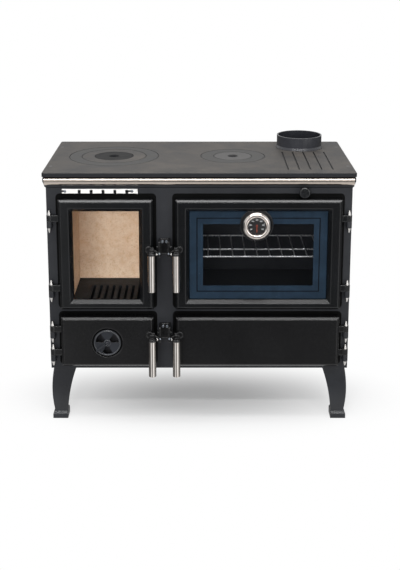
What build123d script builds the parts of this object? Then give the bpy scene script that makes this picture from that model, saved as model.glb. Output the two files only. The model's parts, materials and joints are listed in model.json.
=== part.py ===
from build123d import *
import math
import os
from dataclasses import dataclass

# A free-standing wood cookstove: a cast-iron front with four doors, a ground cast-iron cooktop with
# two hobs, a fire chamber on the left with an ash chamber below it, an oven on the right with a soot
# chamber below it, and a flue collar at the back right.
# Millimetres. X runs to the right seen from the front, Y to the back, Z up from the floor.

# ---- fits
RUNNING = 0.05          # radial clearance of a shaft that turns or slides in its hole
FREE_GAP = 0.3          # gap between parts that move past each other
SHEET = 2.0             # body and liner sheet steel
CAST = 8.0              # wall of the front, legs and catches

# ---- cooktop
PLATE_OVERHANG = 9.0    # cooktop past the body at each side
PLATE_DEPTH = 450.0
PLATE_THICK = 12.0
PLATE_CORNER = 8.0
PLATE_EDGE = 3.0
HOB_FROM_FRONT = 229.0
LEFT_HOB_INSET = 181.0  # each hob's centre from the body's nearer side
RIGHT_HOB_INSET = 339.0
LEFT_OUTER_R = 135.0
LEFT_MIDDLE_R = 97.5
LEFT_COVER_R = 58.5
RIGHT_RING_R = 97.0
RIGHT_COVER_R = 57.5
RING_GAP = 0.8
RING_LEDGE = 6.0
RING_STEP = 6.0         # thickness of a ring's upper step
RING_EDGE = 0.8
LIFT_HOLE_R = 16.0
LIFT_HOLE_DEPTH = 7.0
LIFT_BAR = 7.0
GROOVE_COUNT = 5
GROOVE_PITCH = 32.3
GROOVE_INSET = 184.0    # first groove from the body's right side
GROOVE_START = 44.0
GROOVE_LENGTH = 241.0
GROOVE_WIDTH = 3.4
GROOVE_DEPTH = 2.0
PLATE_SCREW_INSET = 6.0 # from the body's side
PLATE_SCREW_YS = (89.0, 360.0)
PLATE_SCREW_R = 2.5
PLATE_SCREW_HEAD_R = 5.5
PLATE_SCREW_LENGTH = 24.0

# ---- flue collar
FLUE_INSET = 124.0      # flue axis from the body's right side
FLUE_FROM_FRONT = 365.0
FLUE_BORE_R = 66.5
FLUE_OUTER_R = 70.5
FLUE_BASE_R = 73.5
FLUE_BASE_H = 8.0
FLUE_HEIGHT = 40.0
FLUE_LIP = 2.5          # lip of the cooktop that a pipe stands on inside the collar

# ---- body
BODY_WIDTH = 882.0
LEG_HEIGHT = 163.0
HEAD_HEIGHT = 38.0      # cast front above the upper doors
FRAME_HEIGHT = 27.0     # top frame between body and cooktop
FACE_SETBACK = 20.0     # cast front behind the cooktop's front edge
BACK_SETBACK = 10.0
SKIRT_HEIGHT = 9.0
SKIRT_THICK = 5.0
FRAME_BULGE = 3.0
FRAME_LEDGE = 10.0      # top frame inside the body, under the cooktop
RAIL_DEPTH = 12.0
RAIL_INSET = 3.5
RAIL_MARGIN = 0.5
DECK_RISE = 12.0        # deck's underside above the lower doors
DECK_THICK = 3.0

# ---- doors
DOOR_PROUD = 33.5       # door front ahead of the cast front
DOOR_GAP = 1.0
DOOR_CHAMFER = 6.5
DOOR_ROUND = 1.5
DOOR_OVERLAP = 20.0     # door over the edge of its opening
RIM = 14.0
PANEL_THICK = 8.0       # front wall of a door with no window
GLASS_SEAT = 14.0
WINDOW_SIDE = 30.0
WINDOW_TOP = 25.0
WINDOW_BOTTOM = 19.0
WINDOW_BEVEL = 11.0
GLASS_THICK = 4.0
GLASS_LAP = 8.0
SILL_HEIGHT = 18.0      # cast front below the lower doors
LOWER_DOOR_HEIGHT = 152.0
DOOR_SPACE = 25.0       # between lower and upper doors
UPPER_DOOR_HEIGHT = 330.0
LEFT_MARGIN = 36.0      # doors' hinge edges from the body's sides
RIGHT_MARGIN = 30.5
LEFT_DOOR_WIDTH = 272.0
POST_WIDTH = 64.0       # between left and right doors
SEAL_WIDTH = 8.0
SEAL_DEPTH = 5.0
CLIP_LENGTH = 30.0
CLIP_WIDTH = 12.0
CLIP_THICK = 2.0

# ---- hinges
HINGE_INSET = 9.0       # pin axis from the body's side
HINGE_STANDOFF = 12.0   # pin axis ahead of the cast front
KNUCKLE_R = 8.0
KNUCKLE_H = 19.0
PIN_R = 4.0
PIN_TIP_R = 6.0
PIN_TIP_H = 14.0
ARM_THICK = 11.0
UPPER_LUG_DROPS = (49.0, 260.0)
LOWER_LUG_DROPS = (31.6, 103.9)

# ---- latches and catches
PIVOT_FROM_EDGE = 12.0
UPPER_PIVOT_DROP = 143.0
LOWER_PIVOT_DROP = 48.0
HUB_R = 10.0
HUB_LENGTH = 13.0
PIVOT_R = 5.0
TONGUE_RISE = 14.0      # tongue tip below the pivot
TONGUE_HALF = 6.5
TONGUE_NUB_R = 3.0
TONGUE_NUB_H = 3.0
HANDLE_OFFSET = 9.0     # handle axis from the pivot towards the free edge
HANDLE_STANDOFF = 36.0  # handle axis ahead of the door
HANDLE_R = 11.0
HANDLE_WALL = 2.0
HANDLE_LENGTH = 109.0
HANDLE_DROP = 9.0       # handle top below the pivot
HANDLE_CAP_R = 12.5
HANDLE_CAP_H = 7.0
HANDLE_ARM = 12.0
SPIGOT_LENGTH = 60.0
CATCH_HALF = 16.5
CATCH_WALL = 6.0
CATCH_ABOVE = 22.0      # catch top above the pivot
CATCH_BELOW = 24.0
CATCH_PROUD = 10.0      # cheeks ahead of the doors' front
CATCH_LIP = 5.0
FACE_SCREW_R = 2.5
FACE_SCREW_HEAD_R = 4.0
FACE_SCREW_HEAD_H = 2.5
FACE_SCREW_LENGTH = 12.0
CATCH_SCREW_SPREAD = 6.0

# ---- fire chamber
FIRE_HINGE_INSET = 25.0 # chamber's sides from its door's edges
FIRE_FREE_INSET = 27.0
CHAMBER_BACK = 285.0    # from the cooktop's front edge
BOARD_THICK = 25.0
BOARD_RISE = 2.0        # boards above the door
CASING_THICK = 3.0
GRATE_INSET = 45.0      # from the chamber's left side
GRATE_WIDTH = 160.0
GRATE_FRONT = 42.0
GRATE_LENGTH = 180.0
GRATE_THICK = 9.0
GRATE_CLEARANCE = 1.0
GRATE_LEDGE = 5.0
GRATE_SLOTS = 8
GRATE_SLOT_WIDTH = 9.0
GRATE_SLOT_LENGTH = 164.0
FLOOR_THICK = 6.0

# ---- ash chamber
PAN_GAP = 6.0
PAN_HEIGHT = 84.0
PAN_FRONT = 34.0
PAN_LENGTH = 236.0
PAN_PULL_WIDTH = 70.0
PAN_PULL_REACH = 4.0
PAN_PULL_HEIGHT = 18.0

# ---- oven
OVEN_FREE_INSET = 33.0  # oven's walls from its door's edges
OVEN_HINGE_INSET = 30.5
OVEN_BOTTOM_INSET = 26.0
OVEN_TOP_INSET = 32.0
OVEN_FLANGE = 8.0
OVEN_STAND_LENGTH = 136.5
RACK_HEIGHT = 115.5     # above the oven's floor
RACK_FRONT = 54.0
RACK_DEPTH = 216.0
RACK_WIRE_R = 1.8
RACK_BAR_R = 2.6
RACK_WIRES = 11
RACK_MARGIN = 22.5      # outer wires from the rack's ends
RUNNER_LEVELS = (-66.0, 0.0, 66.0)
RUNNER_WIDTH = 12.0
RUNNER_THICK = 3.0
RACK_END_GAP = 3.0

# ---- air slide over the fire door
SLIDE_INSET = 46.4      # left end from the body's side
SLIDE_LENGTH = 218.0
SLIDE_HEIGHT = 13.0
SLIDE_DROP = 18.8       # below the body's top
SLIDE_THICK = 2.0
AIR_HOLES = 5
AIR_HOLE_PITCH = 34.1
AIR_HOLE_INSET = 96.3   # first hole from the body's side
AIR_HOLE_WIDTH = 8.5
AIR_HOLE_HEIGHT = 10.0
SLIDE_TRAVEL = 17.0
SLIDE_STUD_INSETS = (55.0, 248.0)
SLIDE_TAB = 6.0

# ---- air wheel on the ash door
WHEEL_R = 40.0
WHEEL_RECESS_R = 44.5
WHEEL_RECESS = 2.5
WHEEL_THICK = 4.0
WHEEL_HUB_R = 6.5
WHEEL_PIN_R = 3.0
WHEEL_PIN_HEAD_H = 3.0
WHEEL_SECTOR_IN = 11.0
WHEEL_SECTOR_OUT = 34.0
WHEEL_SECTOR_ANGLE = 54.0
WHEEL_SECTORS = (30.0, 150.0, 270.0)
WHEEL_TAB_ANGLE = 218.0
WHEEL_TAB_WIDTH = 7.0
WHEEL_TAB_PROUD = 6.0
WHEEL_FROM_HINGE = 162.0
WHEEL_DROP = 77.0

# ---- oven thermometer
THERMO_FROM_HINGE = 267.0
THERMO_DROP = 75.5      # below the door's top
THERMO_R = 40.5
THERMO_DEPTH = 17.0
THERMO_FACE_R = 24.5
THERMO_FACE_DEPTH = 6.0
THERMO_FLARE = 3.0
THERMO_TAB_R = 48.0
THERMO_TAB_THICK = 4.0
THERMO_STEM_R = 5.0
THERMO_STEM_LENGTH = 60.0
THERMO_DIAL_THICK = 1.0
POINTER_LENGTH = 18.0
POINTER_WIDTH = 2.0
POINTER_THICK = 0.8
POINTER_PIN_R = 1.5

# ---- flue damper
DAMPER_OFFSET = 15.0    # rod beside the flue's axis
DAMPER_DROP = 19.5      # rod below the body's top
DAMPER_ROD_R = 4.0
KNOB_R = 16.0
KNOB_DEPTH = 15.0
KNOB_FROM_FACE = 10.0
KNOB_EDGE = 4.0
DAMPER_WIDTH = 118.0
DAMPER_THICK = 3.0
DAMPER_RISE = 12.0      # plate above the body's top
FLUE_BOX_WIDTH = 165.0
FLUE_BOX_DROP = 96.0    # duct below the oven's top
FLUE_WINDOW_W = 100.0
FLUE_WINDOW_H = 50.0

# ---- legs
LEG_TOP = 67.0
LEG_INSET = 7.0
LEG_BOW = 6.5
LEG_MIDDLE = 48.0
LEG_NECK = 38.0
LEG_FOOT = 45.0
FOOT_HEIGHT = 13.0
LEG_BOW_Z = 95.0
LEG_NECK_Z = 22.0
LEG_FLANGE = 8.0
LEG_BOLT_R = 4.0
LEG_BOLT_HEAD_R = 7.0
LEG_BOLT_HEAD_H = 5.0

# ---- places worked out from the sizes above
HALF = BODY_WIDTH / 2
PLATE_WIDTH = BODY_WIDTH + 2 * PLATE_OVERHANG
FRAME_REACH = PLATE_OVERHANG - FRAME_BULGE
LOWER_DOOR_BOTTOM = LEG_HEIGHT + SILL_HEIGHT
LOWER_DOOR_TOP = LOWER_DOOR_BOTTOM + LOWER_DOOR_HEIGHT
UPPER_DOOR_BOTTOM = LOWER_DOOR_TOP + DOOR_SPACE
UPPER_DOOR_TOP = UPPER_DOOR_BOTTOM + UPPER_DOOR_HEIGHT
BODY_TOP = UPPER_DOOR_TOP + HEAD_HEIGHT
PLATE_BOTTOM = BODY_TOP + FRAME_HEIGHT
TOP_Z = PLATE_BOTTOM + PLATE_THICK
DECK_BOTTOM = LOWER_DOOR_TOP + DECK_RISE
HINGE_X = HALF - HINGE_INSET
HINGE_EDGE_LEFT = LEFT_MARGIN - HALF
FREE_EDGE_LEFT = HINGE_EDGE_LEFT + LEFT_DOOR_WIDTH
FREE_EDGE_RIGHT = FREE_EDGE_LEFT + POST_WIDTH
HINGE_EDGE_RIGHT = HALF - RIGHT_MARGIN
POST_X = (FREE_EDGE_LEFT + FREE_EDGE_RIGHT) / 2
FIRE_LEFT = HINGE_EDGE_LEFT + FIRE_HINGE_INSET
FIRE_RIGHT = FREE_EDGE_LEFT - FIRE_FREE_INSET
BOARD_TOP = UPPER_DOOR_TOP + BOARD_RISE
GRATE_LEFT = FIRE_LEFT + GRATE_INSET
ASH_FLOOR = LOWER_DOOR_BOTTOM + DOOR_OVERLAP
OVEN_LEFT = FREE_EDGE_RIGHT + OVEN_FREE_INSET
OVEN_RIGHT = HINGE_EDGE_RIGHT - OVEN_HINGE_INSET
OVEN_BOTTOM = UPPER_DOOR_BOTTOM + OVEN_BOTTOM_INSET
OVEN_TOP = UPPER_DOOR_TOP - OVEN_TOP_INSET
RACK_Z = OVEN_BOTTOM + RACK_HEIGHT
LEFT_HOB_X = LEFT_HOB_INSET - HALF
RIGHT_HOB_X = HALF - RIGHT_HOB_INSET
FLUE_X = HALF - FLUE_INSET
SLIDE_Z = BODY_TOP - SLIDE_DROP
SLIDE_STUDS = [inset - HALF for inset in SLIDE_STUD_INSETS]
AIR_HOLE_XS = [AIR_HOLE_INSET - HALF + i * AIR_HOLE_PITCH for i in range(AIR_HOLES)]
THERMO_Z = UPPER_DOOR_TOP - THERMO_DROP
DAMPER_X = FLUE_X - DAMPER_OFFSET
DAMPER_Z = BODY_TOP - DAMPER_DROP

# The handles' caps stand furthest forward, by REACH before the cooktop's front edge, and the
# cooktop's back edge furthest back. The origin is halfway between the two, on the floor.
REACH = DOOR_PROUD - FACE_SETBACK + HANDLE_STANDOFF + max(HANDLE_R, HANDLE_CAP_R)
FRONT = REACH - (PLATE_DEPTH + REACH) / 2
FACE = FRONT + FACE_SETBACK
BACK = FRONT + PLATE_DEPTH - BACK_SETBACK
DOOR_FRONT = FACE - DOOR_PROUD
DOOR_BACK = FACE - DOOR_GAP
INSIDE = FACE + CAST
CHAMBER_END = FRONT + CHAMBER_BACK
HINGE_Y = FACE - HINGE_STANDOFF
HOB_Y = FRONT + HOB_FROM_FRONT
FLUE_Y = FRONT + FLUE_FROM_FRONT


# ---- small makers
def block(x0, x1, y0, y1, z0, z1):
    """A box between two corners."""
    centre = Pos((x0 + x1) / 2, (y0 + y1) / 2, (z0 + z1) / 2)
    return centre * Box(x1 - x0, y1 - y0, z1 - z0)


def rod_z(radius, x, y, z0, z1):
    """A round bar along Z."""
    return Pos(x, y, (z0 + z1) / 2) * Cylinder(radius, z1 - z0)


def rod_y(radius, x, z, y0, y1):
    """A round bar along Y."""
    return Pos(x, (y0 + y1) / 2, z) * Rot(90, 0, 0) * Cylinder(radius, y1 - y0)


def rod_x(radius, y, z, x0, x1):
    """A round bar along X."""
    return Pos((x0 + x1) / 2, y, z) * Rot(0, 90, 0) * Cylinder(radius, x1 - x0)


def write(name, shape):
    """Writes one node; a list becomes one node of separate solids."""
    if isinstance(shape, (list, tuple)):
        shape = Compound(children=[piece for item in shape for piece in item.solids()])
    export_step(shape, f"parts/{name}.step")


# ---- cooktop, rings and covers
def stepped_disc(radius, x):
    """A lid that hangs by its upper step on the ledge around it."""
    upper = rod_z(radius, x, HOB_Y, TOP_Z - RING_STEP, TOP_Z)
    upper = chamfer(upper.edges().sort_by(Axis.Z)[-1], RING_EDGE)
    lower = rod_z(radius - RING_LEDGE - RING_GAP, x, HOB_Y, PLATE_BOTTOM, TOP_Z - RING_STEP)
    return upper + lower


def stepped_hole(radius, x):
    """The hole that a stepped lid of this radius hangs in."""
    upper = rod_z(radius + RING_GAP, x, HOB_Y, TOP_Z - RING_STEP, TOP_Z)
    lower = rod_z(radius - RING_LEDGE, x, HOB_Y, PLATE_BOTTOM, TOP_Z - RING_STEP)
    return upper + lower


def hob_ring(radius, inner_radius, x):
    """A loose ring with a seat for the next lid inside it."""
    return stepped_disc(radius, x) - stepped_hole(inner_radius, x)


def hob_cover(radius, x):
    """A cover whose lift hole has a bar across it for the lifter's hook."""
    hole = rod_z(LIFT_HOLE_R, x, HOB_Y, TOP_Z - LIFT_HOLE_DEPTH, TOP_Z)
    bar = block(x - LIFT_HOLE_R, x + LIFT_HOLE_R, HOB_Y - LIFT_BAR / 2, HOB_Y + LIFT_BAR / 2,
                TOP_Z - LIFT_HOLE_DEPTH, TOP_Z)
    return stepped_disc(radius, x) - (hole - bar)


def plate_screw_places():
    """Where the cooktop is screwed to the top frame."""
    reach = HALF - PLATE_SCREW_INSET
    return [(side * reach, FRONT + y) for side in (-1, 1) for y in PLATE_SCREW_YS]


def plate_screw(x, y, grow=0.0):
    """A countersunk screw; grow gives its hole."""
    depth = PLATE_SCREW_HEAD_R - PLATE_SCREW_R
    head = Pos(x, y, TOP_Z - depth / 2) * Cone(PLATE_SCREW_R + grow, PLATE_SCREW_HEAD_R + grow, depth)
    return head + rod_z(PLATE_SCREW_R + grow, x, y, TOP_Z - PLATE_SCREW_LENGTH, TOP_Z - depth)


def cooktop_plate():
    """The ground top with its stepped hob holes, flue hole, screw holes and five grooves."""
    middle_y = FRONT + PLATE_DEPTH / 2
    outline = RectangleRounded(PLATE_WIDTH, PLATE_DEPTH, PLATE_CORNER)
    plate = Pos(0, middle_y, PLATE_BOTTOM) * extrude(outline, PLATE_THICK)
    plate = fillet(plate.edges().group_by(Axis.Z)[-1], PLATE_EDGE)
    plate -= stepped_hole(LEFT_OUTER_R, LEFT_HOB_X)
    plate -= stepped_hole(RIGHT_RING_R, RIGHT_HOB_X)
    plate -= rod_z(FLUE_BORE_R - FLUE_LIP, FLUE_X, FLUE_Y, PLATE_BOTTOM, TOP_Z)
    for x, y in plate_screw_places():
        plate -= plate_screw(x, y, RUNNING)
    for i in range(GROOVE_COUNT):
        slot = SlotOverall(GROOVE_LENGTH, GROOVE_WIDTH, rotation=90)
        x = HALF - GROOVE_INSET + i * GROOVE_PITCH
        place = Pos(x, FRONT + GROOVE_START + GROOVE_LENGTH / 2, TOP_Z - GROOVE_DEPTH)
        plate -= place * extrude(slot, GROOVE_DEPTH)
    return plate


def flue_collar():
    """The cast spigot that the flue pipe slides into."""
    collar = rod_z(FLUE_OUTER_R, FLUE_X, FLUE_Y, TOP_Z, TOP_Z + FLUE_HEIGHT)
    collar += Pos(FLUE_X, FLUE_Y, TOP_Z + FLUE_BASE_H / 2) * Cone(FLUE_BASE_R, FLUE_OUTER_R, FLUE_BASE_H)
    return collar - rod_z(FLUE_BORE_R, FLUE_X, FLUE_Y, TOP_Z, TOP_Z + FLUE_HEIGHT)


# ---- body shell
def top_frame():
    """The moulded frame between body and cooktop, with a cove skirt that laps the body."""
    width = BODY_WIDTH + 2 * FRAME_REACH
    depth = BACK - FACE + 2 * FRAME_REACH
    place = Pos(0, (FACE + BACK) / 2, 0)
    inner = BODY_WIDTH - 2 * FRAME_LEDGE
    inner_depth = BACK - FACE - 2 * FRAME_LEDGE
    layer = FRAME_HEIGHT / 3
    slope = math.degrees(math.atan(FRAME_BULGE / layer))
    ring = extrude(RectangleRounded(width, depth, PLATE_CORNER), layer, taper=-slope)
    belt = RectangleRounded(width + 2 * FRAME_BULGE, depth + 2 * FRAME_BULGE, PLATE_CORNER)
    ring += Pos(0, 0, layer) * extrude(belt, layer)
    ring += Pos(0, 0, 2 * layer) * extrude(belt, layer, taper=slope)
    ring -= extrude(Rectangle(inner, inner_depth), FRAME_HEIGHT)
    lap = RectangleRounded(BODY_WIDTH + 2 * SKIRT_THICK, BACK - FACE + 2 * SKIRT_THICK, PLATE_CORNER)
    skirt = Pos(0, 0, -SKIRT_HEIGHT) * extrude(lap, SKIRT_HEIGHT)
    skirt = chamfer(skirt.edges().group_by(Axis.Z)[0], SKIRT_THICK - 1)
    skirt -= Pos(0, 0, -SKIRT_HEIGHT) * extrude(Rectangle(BODY_WIDTH, BACK - FACE), SKIRT_HEIGHT)
    frame = place * Pos(0, 0, BODY_TOP) * (ring + skirt)
    frame -= block(-HALF - RAIL_INSET, HALF + RAIL_INSET, FRONT, FRONT + RAIL_DEPTH + RAIL_MARGIN,
                   BODY_TOP, PLATE_BOTTOM)
    for x, y in plate_screw_places():
        frame -= rod_z(PLATE_SCREW_R + RUNNING, x, y, BODY_TOP, PLATE_BOTTOM)
    return frame


def front_rail():
    """The half-round polished rail under the cooktop's front edge."""
    height = FRAME_HEIGHT - 2 * RAIL_MARGIN
    length = 2 * (HALF + RAIL_INSET) - 2 * RAIL_MARGIN
    section = Ellipse(RAIL_DEPTH, height / 2) & (Pos(-RAIL_DEPTH / 2, 0) * Rectangle(RAIL_DEPTH, height))
    bar = extrude(Plane.YZ * section, length / 2, both=True)
    return Pos(0, FRONT + RAIL_DEPTH + RAIL_MARGIN, (BODY_TOP + PLATE_BOTTOM) / 2) * bar


def body_shell():
    """The sheet wrapped round the sides and back."""
    outer = block(-HALF, HALF, INSIDE, BACK, LEG_HEIGHT, BODY_TOP)
    return outer - block(-HALF + SHEET, HALF - SHEET, INSIDE, BACK - SHEET, LEG_HEIGHT, BODY_TOP)


def bottom_panel():
    """The base sheet that the legs are bolted to."""
    panel = block(-HALF + SHEET, HALF - SHEET, INSIDE, BACK - SHEET, LEG_HEIGHT, LEG_HEIGHT + SHEET)
    for x, y in leg_bolt_places():
        panel -= rod_z(LEG_BOLT_R + RUNNING, x, y, LEG_HEIGHT, LEG_HEIGHT + SHEET)
    return panel


def deck_plate():
    """The shelf under fire chamber and oven, open below the grate."""
    top = DECK_BOTTOM + DECK_THICK
    deck = block(-HALF + SHEET, HALF - SHEET, INSIDE, BACK - SHEET, DECK_BOTTOM, top)
    return deck - grate_hole(GRATE_CLEARANCE, DECK_BOTTOM, top)


# ---- doors
@dataclass
class Door:
    """One door, in a frame whose X runs from the hinge axis to the free edge."""

    hinge_edge: float
    free_edge: float
    bottom: float
    top: float
    lug_drops: tuple
    pivot_drop: float

    @property
    def side(self):
        """1 for a door hinged on the left, -1 on the right."""
        return 1 if self.hinge_edge < self.free_edge else -1

    @property
    def near(self):
        """Hinge axis to the nearer edge."""
        return HINGE_X - abs(self.hinge_edge)

    @property
    def far(self):
        """Hinge axis to the free edge."""
        return self.near + abs(self.free_edge - self.hinge_edge)

    @property
    def pivot(self):
        """Where the latch turns."""
        return self.far - PIVOT_FROM_EDGE, self.top - self.pivot_drop

    def place(self, shape):
        """Moves a shape from the door's own frame to the stove's."""
        if self.side < 0:
            shape = mirror(shape, about=Plane.YZ)
        return Pos(-self.side * HINGE_X, 0, 0) * shape


LEFT_EDGES = (HINGE_EDGE_LEFT, FREE_EDGE_LEFT)
RIGHT_EDGES = (HINGE_EDGE_RIGHT, FREE_EDGE_RIGHT)
UPPER_ROW = (UPPER_DOOR_BOTTOM, UPPER_DOOR_TOP, UPPER_LUG_DROPS, UPPER_PIVOT_DROP)
LOWER_ROW = (LOWER_DOOR_BOTTOM, LOWER_DOOR_TOP, LOWER_LUG_DROPS, LOWER_PIVOT_DROP)
FIRE = Door(*LEFT_EDGES, *UPPER_ROW)
OVEN = Door(*RIGHT_EDGES, *UPPER_ROW)
ASH = Door(*LEFT_EDGES, *LOWER_ROW)
SOOT = Door(*RIGHT_EDGES, *LOWER_ROW)
DOORS = {"fire": FIRE, "oven": OVEN, "ash": ASH, "soot": SOOT}


def opening(door, y0, y1):
    """The hole that a door closes."""
    inset = DOOR_OVERLAP
    return door.place(block(door.near + inset, door.far - inset, y0, y1,
                            door.bottom + inset, door.top - inset))


def door_casting(door, wall):
    """The cast body of a door: front wall, hollow back, rim with a seal groove, hinge knuckles."""
    slab = block(door.near, door.far, DOOR_FRONT, DOOR_BACK, door.bottom, door.top)
    slab = chamfer(slab.faces().sort_by(Axis.Y)[0].edges(), DOOR_CHAMFER)
    slab = fillet(slab.faces().sort_by(Axis.Y)[0].edges(), DOOR_ROUND)
    slab -= block(door.near + RIM, door.far - RIM, DOOR_FRONT + wall, DOOR_BACK,
                  door.bottom + RIM, door.top - RIM)
    slab -= seal_ring(door, DOOR_BACK)
    for drop in door.lug_drops:
        top = door.top - drop
        arm = block(0, door.near + RIM / 2, HINGE_Y - ARM_THICK / 2, HINGE_Y + ARM_THICK / 2,
                    top - KNUCKLE_H, top)
        arm += rod_z(KNUCKLE_R, 0, HINGE_Y, top - KNUCKLE_H, top)
        slab += arm - rod_z(PIN_R + RUNNING, 0, HINGE_Y, top - KNUCKLE_H, top)
    pivot_x, pivot_z = door.pivot
    slab += rod_y(HUB_R, pivot_x, pivot_z, DOOR_FRONT + wall / 2, DOOR_FRONT + wall + PIVOT_R)
    slab -= rod_y(PIVOT_R + RUNNING, pivot_x, pivot_z, DOOR_FRONT, DOOR_BACK)
    return slab


def seal_ring(door, back):
    """A square ring along the middle of a door's rim: the rope seal, or its groove."""
    inset = (RIM - SEAL_WIDTH) / 2
    front = DOOR_BACK - SEAL_DEPTH
    ring = block(door.near + inset, door.far - inset, front, back, door.bottom + inset, door.top - inset)
    inset = inset + SEAL_WIDTH
    return ring - block(door.near + inset, door.far - inset, front, back,
                        door.bottom + inset, door.top - inset)


def door_seal(door):
    """The rope seal, which stands out of its groove to the cast front."""
    return door.place(seal_ring(door, FACE - FREE_GAP))


def window_box(door, inset, y0, y1):
    """The window of a door, drawn in by inset."""
    return block(door.near + WINDOW_SIDE + inset, door.far - WINDOW_SIDE - inset, y0, y1,
                 door.bottom + WINDOW_BOTTOM + inset, door.top - WINDOW_TOP - inset)


def window_bevel(door):
    """The window's bevelled cut, wide at the front and narrow at the glass."""
    width = door.far - door.near - 2 * WINDOW_SIDE
    height = door.top - door.bottom - WINDOW_TOP - WINDOW_BOTTOM
    centre_x = (door.near + door.far) / 2
    centre_z = (door.bottom + WINDOW_BOTTOM + door.top - WINDOW_TOP) / 2
    wide = Plane(origin=(centre_x, DOOR_FRONT, centre_z), z_dir=(0, -1, 0), x_dir=(1, 0, 0))
    narrow = wide.offset(-GLASS_SEAT)
    small = Rectangle(width - 2 * WINDOW_BEVEL, height - 2 * WINDOW_BEVEL)
    return loft([wide * Rectangle(width, height), narrow * small])


def windowed_door(door):
    """A door casting with a bevelled window."""
    return door_casting(door, GLASS_SEAT) - window_bevel(door)


def door_glass(door):
    """The pane that lies behind the window's lip."""
    seat = DOOR_FRONT + GLASS_SEAT
    return window_box(door, WINDOW_BEVEL - GLASS_LAP, seat, seat + GLASS_THICK)


def oven_glass():
    """The oven's pane, drilled for the thermometer's stem."""
    seat = DOOR_FRONT + GLASS_SEAT
    hole = rod_y(THERMO_STEM_R + FREE_GAP, THERMO_FROM_HINGE, THERMO_Z, seat, seat + GLASS_THICK)
    return door_glass(OVEN) - hole


def clip_places(door):
    """Two clips on each side of the pane, as a centre and a direction out from the pane."""
    left = door.near + WINDOW_SIDE + WINDOW_BEVEL - GLASS_LAP
    right = door.far - WINDOW_SIDE - WINDOW_BEVEL + GLASS_LAP
    low = door.bottom + WINDOW_BOTTOM + WINDOW_BEVEL - GLASS_LAP
    high = door.top - WINDOW_TOP - WINDOW_BEVEL + GLASS_LAP
    quarter = (high - low) / 4
    return [(x, z, out) for x, out in ((left, -1), (right, 1)) for z in (low + quarter, high - quarter)]


def door_clips(door):
    """Steel clips behind the pane, each bent from the casting on to the glass."""
    seat = DOOR_FRONT + GLASS_SEAT
    back = seat + GLASS_THICK
    clips = []
    for x, z, out in clip_places(door):
        lap = x - out * GLASS_LAP / 2
        end = x + out * CLIP_WIDTH / 2
        low = z - CLIP_LENGTH / 2
        tongue = block(min(lap, end), max(lap, end), back, back + CLIP_THICK, low, low + CLIP_LENGTH)
        step = x + out * CLIP_THICK / 2
        foot = block(min(step, end), max(step, end), seat, back, low, low + CLIP_LENGTH)
        clips.append(door.place(tongue + foot))
    return clips


# ---- hinges
def hinge_bracket(door, drop):
    """The knuckle on the cast front that carries a door's knuckle."""
    high = door.top - drop - KNUCKLE_H
    low = high - KNUCKLE_H
    foot = block(-KNUCKLE_R, KNUCKLE_R, HINGE_Y, FACE, low, high)
    return foot + rod_z(KNUCKLE_R, 0, HINGE_Y, low, high)


def hinge_pin(door, drop):
    """A pin with pointed ends through both knuckles."""
    high = door.top - drop
    low = high - 2 * KNUCKLE_H
    pin = rod_z(PIN_R, 0, HINGE_Y, low - FREE_GAP, high + FREE_GAP)
    pin += Pos(0, HINGE_Y, high + FREE_GAP + PIN_TIP_H / 2) * Cone(PIN_TIP_R, PIN_TIP_R / 3, PIN_TIP_H)
    pin += Pos(0, HINGE_Y, low - FREE_GAP - PIN_TIP_H / 2) * Cone(PIN_TIP_R / 3, PIN_TIP_R, PIN_TIP_H)
    return door.place(pin)


# ---- cast front
def front_frame():
    """The cast front: four doorways, hinge knuckles, air holes and the damper rod's hole."""
    frame = block(-HALF, HALF, FACE, INSIDE, LEG_HEIGHT, BODY_TOP)
    for door in DOORS.values():
        frame -= opening(door, FACE, INSIDE)
        for drop in door.lug_drops:
            frame += door.place(hinge_bracket(door, drop))
            low = door.top - drop - 2 * KNUCKLE_H
            frame -= door.place(rod_z(PIN_R + RUNNING, 0, HINGE_Y, low, low + KNUCKLE_H))
    for x in AIR_HOLE_XS:
        frame -= block(x - AIR_HOLE_WIDTH / 2, x + AIR_HOLE_WIDTH / 2, FACE, INSIDE,
                       SLIDE_Z - AIR_HOLE_HEIGHT / 2, SLIDE_Z + AIR_HOLE_HEIGHT / 2)
    frame -= rod_y(DAMPER_ROD_R + RUNNING, DAMPER_X, DAMPER_Z, FACE, INSIDE)
    return frame - face_screw_holes()


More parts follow.
